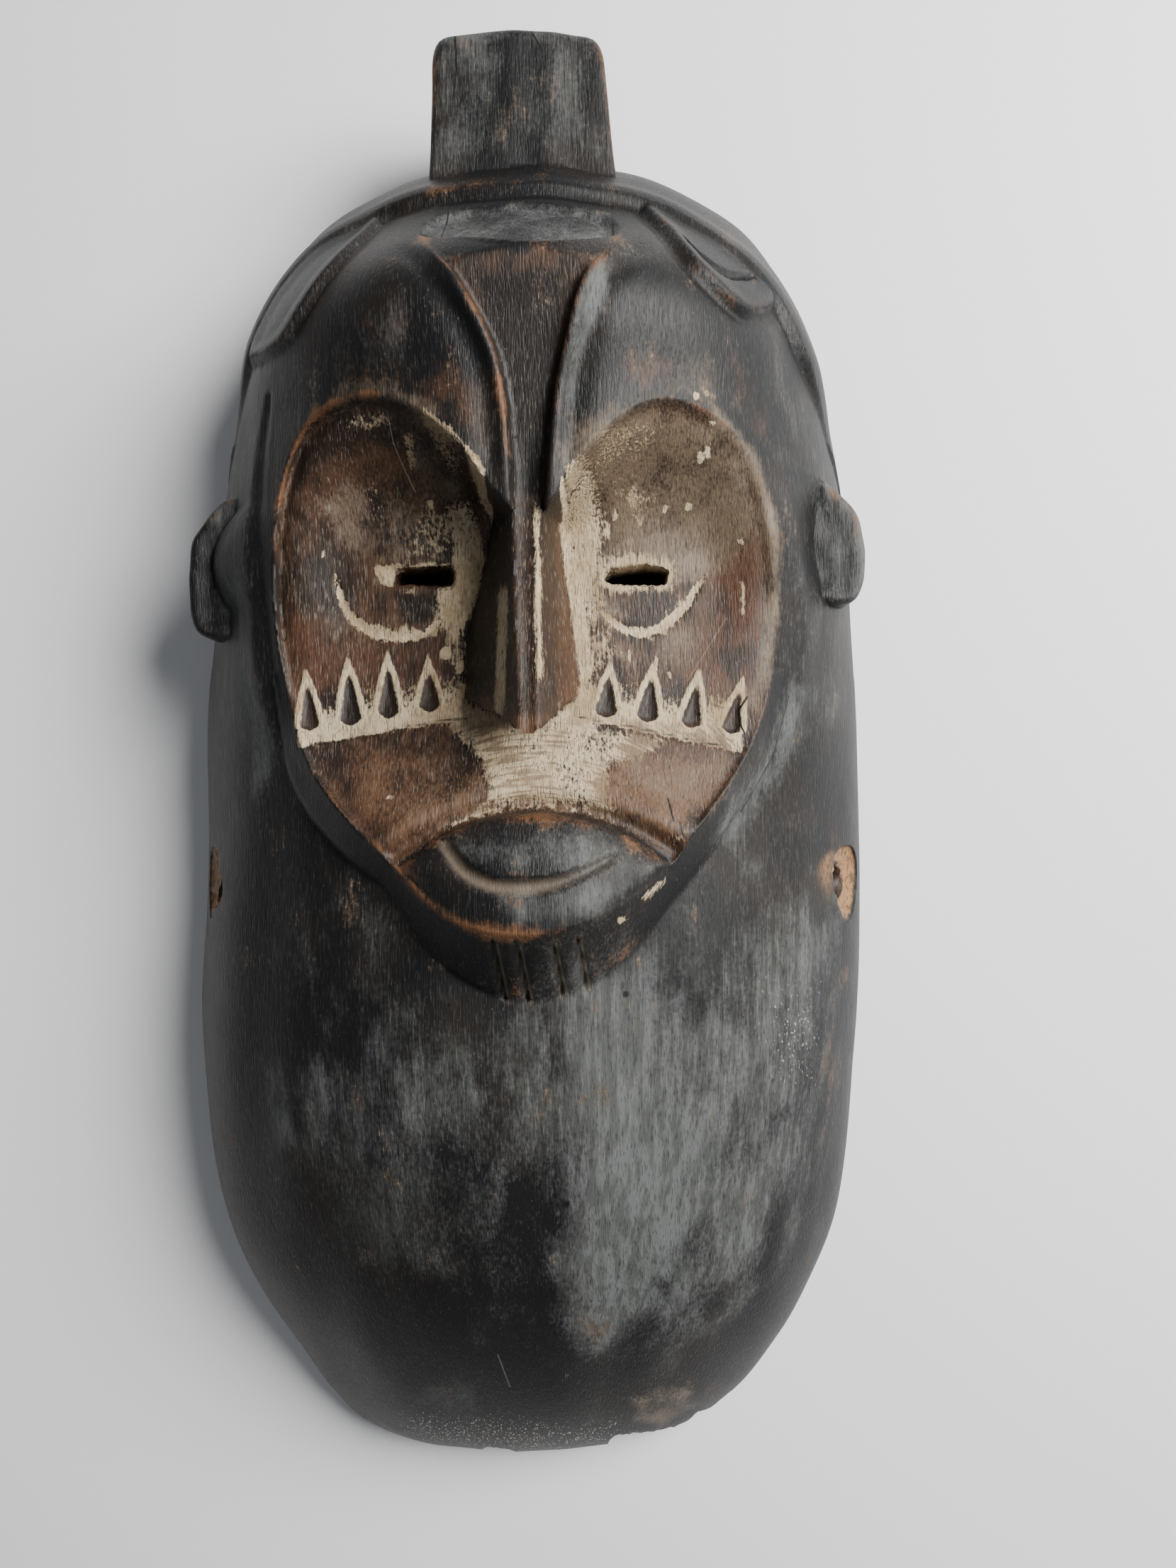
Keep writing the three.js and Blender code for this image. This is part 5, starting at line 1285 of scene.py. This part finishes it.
class Nodes:
    """Short calls that add a node to a material and give its output. A value is a number, a colour or an
    output."""

    def __init__(self, name):
        self.material = bpy.data.materials.new(name)
        self.material.use_nodes = True
        self.tree = self.material.node_tree
        self.shader = self.tree.nodes["Principled BSDF"]
        self.place = self.tree.nodes.new("ShaderNodeTexCoord").outputs["Object"]

    def put(self, socket, value):
        """Links an output to a socket, or sets the socket to a number or a colour."""
        if isinstance(value, bpy.types.NodeSocket):
            self.tree.links.new(value, socket)
        elif isinstance(value, tuple) and len(value) == 3 and socket.type == "RGBA":
            socket.default_value = (*value, 1)
        else:
            socket.default_value = value

    def math(self, operation, a, b=0.0, clamp=False):
        """One operation on two values, kept between 0 and 1 if clamp is set."""
        node = self.tree.nodes.new("ShaderNodeMath")
        node.operation, node.use_clamp = operation, clamp
        self.put(node.inputs[0], a)
        self.put(node.inputs[1], b)
        return node.outputs[0]

    def add(self, a, b, clamp=False):
        """a + b."""
        return self.math("ADD", a, b, clamp)

    def times(self, a, b):
        """a * b."""
        return self.math("MULTIPLY", a, b)

    def swing(self, value, size, middle=0.5):
        """(value - middle) * size."""
        return self.times(self.add(value, -middle), size)

    def less(self, a):
        """1 - a."""
        return self.math("SUBTRACT", 1.0, a)

    def most(self, a, b):
        """The larger of a and b."""
        return self.math("MAXIMUM", a, b)

    def vector(self, operation, a, b=(0, 0, 0), scale=None):
        """One operation on two vectors, or on a vector and a scale."""
        node = self.tree.nodes.new("ShaderNodeVectorMath")
        node.operation = operation
        self.put(node.inputs[0], a)
        self.put(node.inputs[1], b)
        if scale is not None:
            self.put(node.inputs["Scale"], scale)
        return node.outputs["Value" if operation in ("LENGTH", "DOT_PRODUCT") else "Vector"]

    def rise(self, value, low, high):
        """0 below low and 1 above high, falling instead where low is the larger."""
        node = self.tree.nodes.new("ShaderNodeMapRange")
        node.interpolation_type = "SMOOTHSTEP"
        self.put(node.inputs["Value"], value)
        node.inputs["From Min"].default_value = min(low, high)
        node.inputs["From Max"].default_value = max(low, high)
        node.inputs["To Min"].default_value = 1 if low > high else 0
        node.inputs["To Max"].default_value = 0 if low > high else 1
        return node.outputs["Result"]

    def mix(self, share, a, b):
        """The colour a, with a share of the colour b laid over it."""
        node = self.tree.nodes.new("ShaderNodeMix")
        node.data_type = "RGBA"
        self.put(node.inputs[0], share)
        self.put(node.inputs[6], a)
        self.put(node.inputs[7], b)
        return node.outputs[2]

    def noise(self, sizes, detail=2.0, rough=0.55, shift=0.0):
        """Noise whose features are about sizes millimetres along x, y and z."""
        mapping = self.tree.nodes.new("ShaderNodeMapping")
        self.put(mapping.inputs["Vector"], self.place)
        mapping.inputs["Scale"].default_value = [1 / (size * MM) for size in sizes]
        mapping.inputs["Location"].default_value = (shift, shift * 1.7, shift * 0.6)
        node = self.tree.nodes.new("ShaderNodeTexNoise")
        self.put(node.inputs["Vector"], mapping.outputs["Vector"])
        node.inputs["Scale"].default_value = 1.0
        node.inputs["Detail"].default_value, node.inputs["Roughness"].default_value = detail, rough
        return node.outputs["Fac"]

    def separate(self, vector, part):
        """The x, y or z part of a vector, as 0, 1 or 2."""
        node = self.tree.nodes.new("ShaderNodeSeparateXYZ")
        self.put(node.inputs[0], vector)
        return node.outputs[part]

    def mark(self, name):
        """One of the named amounts that mark_surface writes."""
        node = self.tree.nodes.new("ShaderNodeAttribute")
        node.attribute_name = name
        return node.outputs["Fac"]

    def plan(self):
        """The place on the plan in carving millimetres, its height left out."""
        flat = self.vector("MULTIPLY", self.place, (1 / MM, 1 / MM, 0))
        return self.vector("SUBTRACT", flat, (SHIFT[0], SHIFT[1], 0))

    def stroke(self, plan, start, end, width):
        """1 on a straight stroke and 0 past its half width: the distance to the nearest place between its
        ends."""
        length = math.dist(start, end)
        along = ((end[0] - start[0]) / length, (end[1] - start[1]) / length, 0)
        offset = self.vector("SUBTRACT", plan, (*start, 0))
        share = self.math("MAXIMUM", self.vector("DOT_PRODUCT", offset, along), 0.0)
        share = self.math("MINIMUM", share, length)
        nearest = self.vector("SCALE", along, scale=share)
        away = self.vector("LENGTH", self.vector("SUBTRACT", offset, nearest))
        return self.rise(away, width, 0.35 * width)


# Colours of the finish, as linear red, green and blue.
BLACK = (0.0062, 0.0062, 0.0064)
BLACK_WARM = (0.0135, 0.0105, 0.0090)
# The soot colour is also laid as painted shade.
SOOT_AND_SHADE = (0.0072, 0.0058, 0.0050)
# The two dust colours are also laid as painted sheen, reflection and light.
DUST_AND_SHEEN = (0.060, 0.064, 0.060)
DUST_AND_SHEEN_COOL = (0.100, 0.105, 0.104)
DUST_PALE = (0.19, 0.19, 0.18)
BROWN = (0.070, 0.036, 0.019)
BROWN_RED = (0.070, 0.031, 0.017)
BROWN_DARK = (0.019, 0.0115, 0.0082)
WEAR = (0.130, 0.061, 0.028)
FILM = (0.190, 0.148, 0.108)
FILM_TAN = (0.135, 0.078, 0.043)
FILM_OLIVE = (0.122, 0.090, 0.060)
CREAM = (0.50, 0.405, 0.27)
CREAM_OLD = (0.315, 0.235, 0.14)
RAW_WOOD = (0.27, 0.145, 0.060)
INNER_WOOD = (0.070, 0.040, 0.025)
RAW_WOOD_DARK = (0.10, 0.05, 0.022)
INNER_WOOD_DARK = (0.030, 0.019, 0.013)
LINE_DARK = (0.03, 0.02, 0.014)
PORE = (0.30, 0.26, 0.205)
FLECK = (0.50, 0.47, 0.41)

# Roughness of the wood, and what dust with its painted sheen, fibres and paint add to it. Then the gloss, and
# the strength of the bump and its depth in millimetres.
ROUGHNESS = {"wood": 0.50, "dust_and_sheen": 0.16, "fibre": 0.3, "paint": 0.34}
GLOSS = 0.26
BUMP = {"strength": 0.6, "depth": 0.35}

# Noises of the grain: feature sizes along x, y and z in millimetres, detail, roughness and shift.
GRAIN = {
    "fibre": ((0.5, 8, 0.5), 2, 0.6, 0.0),
    "ticks": ((0.30, 2.8, 1.2), 1, 0.5, 3.1),
    "streak": ((2.2, 40, 2.2), 2, 0.6, 5.3),
    "crumb": ((0.95, 1.3, 0.95), 3, 0.65, 17.3),
    "speck": ((0.45, 0.9, 0.8), 0, 0.5, 23.9),
}
# Size of the brush marks under the nose, across and up, in millimetres.
BRUSH_SIZES = (9, 0.95)


def black_wood(n, *, fibre, streak, crumb, blotch, patch, in_face, **_):
    """Black wood, brown and reddish where the face was stained, and soot, which in places is painted shade.
    Gives the colour and that amount of soot and shade.
    """
    wood = n.mix(n.rise(blotch, 0.42, 0.66), BLACK, BLACK_WARM)
    stain = n.mix(n.rise(n.add(n.times(patch, 0.55), n.times(fibre, 0.45)), 0.36, 0.62), BROWN_DARK, BROWN)
    reddish = n.times(n.mark("red"), n.rise(n.add(n.times(patch, 0.4), n.times(streak, 0.6)), 0.34, 0.60))
    stain = n.mix(reddish, stain, BROWN_RED)
    outside_red = n.times(reddish, n.rise(n.add(n.times(patch, 0.5), n.times(crumb, 0.5)), 0.40, 0.62))
    wood = n.mix(n.most(in_face, outside_red), wood, stain)
    # Soot, which in places is painted shade.
    soot_and_shade_amount = n.rise(n.add(n.mark("soot_and_shade"), n.swing(patch, 1.2)), 0.15, 0.85)
    wood = n.mix(n.times(soot_and_shade_amount, 0.88), wood, SOOT_AND_SHADE)
    return wood, soot_and_shade_amount


def with_film(n, wood, *, fibre, crumb, blotch, patch, **_):
    """Thin films of old paint laid over the wood."""
    film = n.add(n.mark("film"), n.swing(patch, 1.0))
    film = n.add(film, n.swing(n.add(fibre, crumb), 0.9, 1.0))
    film = n.times(n.rise(film, 0.22, 1.15), 0.92)
    haze = n.mix(n.mark("brushed"), n.mix(n.rise(blotch, 0.40, 0.62), FILM_OLIVE, FILM), FILM_TAN)
    wood = n.mix(film, wood, haze)
    return wood


def with_dust_and_sheen(n, wood, soot_and_shade_amount, *, fibre, ticks, streak, crumb, blotch, patch, in_face, **_):
    """Grey dust rubbed into the grain, which in places also stands in for painted sheen, reflection and
    light, and pores. Gives the colour and the amount of dust and sheen.
    """
    # Dust, which in places is a painted sheen, reflection and light.
    dust_and_sheen_amount = n.add(n.mark("dust_and_sheen"), n.swing(blotch, 1.0))
    dust_and_sheen_amount = n.add(dust_and_sheen_amount, n.swing(fibre, 0.7))
    dust_and_sheen_amount = n.add(dust_and_sheen_amount, n.swing(n.add(patch, crumb), 0.8, 1.0))
    dust_and_sheen_amount = n.times(n.rise(dust_and_sheen_amount, 0.12, 1.10), n.less(n.times(soot_and_shade_amount, 0.5)))
    wood = n.mix(dust_and_sheen_amount, wood, n.mix(n.rise(streak, 0.4, 0.6), DUST_AND_SHEEN, DUST_AND_SHEEN_COOL))
    pores = n.times(n.rise(ticks, 0.60, 0.72), n.add(0.10, n.times(in_face, 0.20)))
    pores = n.add(pores, n.times(n.rise(fibre, 0.60, 0.74), 0.10))
    wood = n.mix(n.times(pores, n.rise(blotch, 0.2, 0.6)), wood, n.mix(in_face, DUST_PALE, PORE))
    wood = n.mix(n.times(n.rise(ticks, 0.42, 0.33), 0.5), wood, BLACK)
    return wood, dust_and_sheen_amount


def with_wear(n, wood, *, fibre, crumb, patch, **_):
    """Worn brown edges, and painted light in the grooves."""
    edges = n.add(n.mark("worn"), n.times(n.mark("proud"), 0.27))
    edges = n.add(edges, n.swing(patch, 1.3))
    edges = n.add(edges, n.swing(n.add(fibre, crumb), 0.8, 1.0))
    wood = n.mix(n.times(n.rise(edges, 0.34, 1.05), 0.9), wood, WEAR)
    # Painted light in the smile groove and on one wall of each chin cut.
    wood = n.mix(n.times(n.mark("groove"), n.add(0.42, n.times(crumb, 0.3))), wood, FILM)
    return wood


def with_paint(n, wood, *, fibre, ticks, crumb, speck, patch, **_):
    """Broken cream paint: brushed thin under the nose, left out of the dark drops, and drawn round them and
    on the bows. Then small white flecks. Gives the colour and the paint."""
    ragged = n.add(n.swing(crumb, 1.3), n.swing(fibre, 0.9))
    paint = n.add(n.mark("cream"), n.add(ragged, n.swing(patch, 0.7)))
    paint = n.rise(paint, 0.38, 0.78)
    sweep = n.tree.nodes.new("ShaderNodeCombineXYZ")
    n.put(sweep.inputs[0], n.times(n.separate(n.place, 0), 1 / (BRUSH_SIZES[0] * MM)))
    n.put(sweep.inputs[1], n.times(n.mark("sweep"), 1 / BRUSH_SIZES[1]))
    brush = n.tree.nodes.new("ShaderNodeTexNoise")
    n.put(brush.inputs["Vector"], sweep.outputs[0])
    brush.inputs["Scale"].default_value, brush.inputs["Detail"].default_value = 1.0, 2.0
    gaps = n.rise(n.add(brush.outputs["Fac"], n.swing(patch, 0.8)), 0.44, 0.64)
    bare = n.times(n.mark("brushed"), gaps)
    paint = n.times(paint, n.less(n.times(bare, 0.62)))
    edge = n.add(n.mark("drop"), n.times(ragged, 0.7))
    paint = n.times(paint, n.rise(edge, 0.10, -0.20))
    drop_line = n.rise(n.math("ABSOLUTE", n.add(edge, 0.78)), 0.95, 0.50)
    bow_line = n.rise(n.add(n.mark("bow"), n.times(ragged, 1.9)), 0.0, 0.4)
    paint = n.most(paint, n.most(drop_line, bow_line))
    paint = n.times(paint, n.less(n.times(n.rise(ticks, 0.54, 0.70), 0.55)))
    aged = n.rise(n.add(n.times(patch, 0.5), n.times(crumb, 0.5)), 0.38, 0.64)
    wood = n.mix(n.times(n.rise(edge, 0.0, 0.35), 0.7), wood, BLACK_WARM)
    colour = n.mix(paint, wood, n.mix(aged, CREAM, CREAM_OLD))
    flecks = n.rise(n.add(speck, n.times(n.mark("grit"), 0.16)), 0.775, 0.84)
    colour = n.mix(n.times(flecks, n.add(0.06, n.mark("grit"), clamp=True)), colour, FLECK)
    return colour, paint


def with_marks(n, colour, *, streak, crumb, patch, front, **_):
    """Scratches and cracks, bare wood, the inside, the incised lines, and painted shade in the chin cuts and
    cord holes.
    """
    plan = n.plan()
    for start, end, width, tone in STROKES:
        near = n.times(n.times(n.stroke(plan, start, end, width), abs(tone)), front)
        colour = n.mix(near, colour, PORE if tone > 0 else SOOT_AND_SHADE)
    colour = n.mix(n.mark("raw"), colour, n.mix(n.rise(crumb, 0.45, 0.62), RAW_WOOD, RAW_WOOD_DARK))
    colour = n.mix(n.mark("inner"), colour, n.mix(n.rise(streak, 0.35, 0.65), INNER_WOOD, INNER_WOOD_DARK))
    incised = n.times(n.rise(n.mark("incised"), 0.5, 0.1), n.rise(patch, 0.4, 0.6))
    colour = n.mix(incised, colour, LINE_DARK)
    # Painted shade in the chin cuts and inside the cord holes.
    colour = n.mix(n.times(n.rise(n.mark("painted_shade"), 0.15, 0.8), 0.9), colour, SOOT_AND_SHADE)
    return colour


def set_relief(n, dust_and_sheen_amount, paint, *, fibre, ticks, crumb, **_):
    """Roughness, gloss, and the bump of the grain and the paint."""
    rough = n.add(ROUGHNESS["wood"], n.times(dust_and_sheen_amount, ROUGHNESS["dust_and_sheen"]))
    rough = n.add(rough, n.times(n.add(fibre, -0.5), ROUGHNESS["fibre"]))
    rough = n.add(rough, n.times(paint, ROUGHNESS["paint"]), clamp=True)
    n.put(n.shader.inputs["Roughness"], rough)

    height = n.add(n.times(fibre, 0.6), n.times(n.rise(ticks, 0.5, 0.75), -0.25))
    height = n.add(height, n.times(paint, n.add(0.25, n.times(crumb, 0.9))))
    bump = n.tree.nodes.new("ShaderNodeBump")
    bump.inputs["Strength"].default_value = BUMP["strength"]
    bump.inputs["Distance"].default_value = BUMP["depth"] * MM
    n.put(bump.inputs["Height"], height)
    n.put(n.shader.inputs["Normal"], bump.outputs["Normal"])
    n.shader.inputs["Specular IOR Level"].default_value = GLOSS


def make_wood():
    """The whole finish, layer over layer. Each layer reads what it needs of the shared grain."""
    n = Nodes("stained_wood")
    grain = {name: n.noise(*GRAIN[name]) for name in GRAIN}
    grain.update(blotch=n.mark("blotch"), patch=n.mark("patch"))
    grain.update(in_face=n.mark("face"), front=n.less(n.mark("inner")))
    wood, soot_and_shade_amount = black_wood(n, **grain)
    wood = with_film(n, wood, **grain)
    wood, dust_and_sheen_amount = with_dust_and_sheen(n, wood, soot_and_shade_amount, **grain)
    wood = with_wear(n, wood, **grain)
    colour, paint = with_paint(n, wood, **grain)
    colour = with_marks(n, colour, **grain)
    n.put(n.shader.inputs["Base Color"], colour)
    set_relief(n, dust_and_sheen_amount, paint, **grain)
    return n.material


# Floor: its two pale colours, the size of their mottling in millimetres, its finish and its half width in
# metres.
FLOOR_COLOURS = (0.80, 0.805, 0.82), (0.84, 0.845, 0.86)
FLOOR_MOTTLE = (0.9, 0.9, 0.9)
FLOOR_ROUGHNESS = 0.95
FLOOR_GLOSS = 0.1
FLOOR_HALF = 3.0


def make_floor():
    """A plain pale floor whose colour varies a little."""
    n = Nodes("pale_floor")
    n.put(n.shader.inputs["Base Color"], n.mix(n.noise(FLOOR_MOTTLE, 2, 0.5), *FLOOR_COLOURS))
    n.shader.inputs["Roughness"].default_value = FLOOR_ROUGHNESS
    n.shader.inputs["Specular IOR Level"].default_value = FLOOR_GLOSS
    mesh = bpy.data.meshes.new("floor")
    corners = [(x * FLOOR_HALF, y * FLOOR_HALF, 0) for x, y in ((-1, -1), (1, -1), (1, 1), (-1, 1))]
    mesh.from_pydata(corners, [], [(0, 1, 2, 3)])
    mesh.materials.append(n.material)
    floor = bpy.data.objects.new("floor", mesh)
    bpy.context.scene.collection.objects.link(floor)


# Lamps: where they are, how wide, how strong, and their colour. The key is a large soft one on the right.
LAMPS = [
    ("key", (0.50, 0.26, 0.60), 0.55, 18.0, (1.0, 0.985, 0.96)),
    ("fill", (-0.2, -0.5, 1.4), 1.0, 1.2, (0.95, 0.97, 1.0)),
]
SKY = {"colour": (0.90, 0.94, 1.0), "strength": 0.15}


def make_light():
    """The lamps, each turned to the middle of the floor, and an even sky."""
    world = bpy.data.worlds.new("studio")
    world.use_nodes = True
    background = world.node_tree.nodes["Background"]
    background.inputs["Color"].default_value = (*SKY["colour"], 1)
    background.inputs["Strength"].default_value = SKY["strength"]
    bpy.context.scene.world = world
    for name, place, size, power, colour in LAMPS:
        light = bpy.data.lights.new(name, "AREA")
        light.shape, light.size, light.energy, light.color = "DISK", size, power, colour
        lamp = bpy.data.objects.new(name, light)
        lamp.location = place
        lamp.rotation_euler = (-Vector(place)).to_track_quat("-Z", "Y").to_euler()
        bpy.context.scene.collection.objects.link(lamp)


def make_camera():
    """The photo's view from straight above."""
    camera = bpy.data.cameras.new("camera")
    camera.sensor_fit, camera.sensor_width = "HORIZONTAL", SENSOR
    camera.lens = SENSOR * CAMERA_AT[2] / CAMERA_FIELD
    camera.clip_start = 0.01
    view = bpy.data.objects.new("camera", camera)
    view.location = [value * MM for value in CAMERA_AT]
    view.rotation_euler = (0, 0, math.radians(CAMERA_TURN))
    bpy.context.scene.collection.objects.link(view)
    bpy.context.scene.camera = view


# Faces that meet at more than this many degrees are shaded with a sharp edge.
SHARP_ANGLE = 72

mask = make_mask()
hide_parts("mask")
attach(mask, "root")
mask.data.polygons.foreach_set("use_smooth", np.ones(len(mask.data.polygons), bool))
mask.data.set_sharp_from_angle(angle=math.radians(SHARP_ANGLE))
mark_surface(mask)
mask.data.materials.clear()
mask.data.materials.append(make_wood())

make_floor()
make_light()
make_camera()
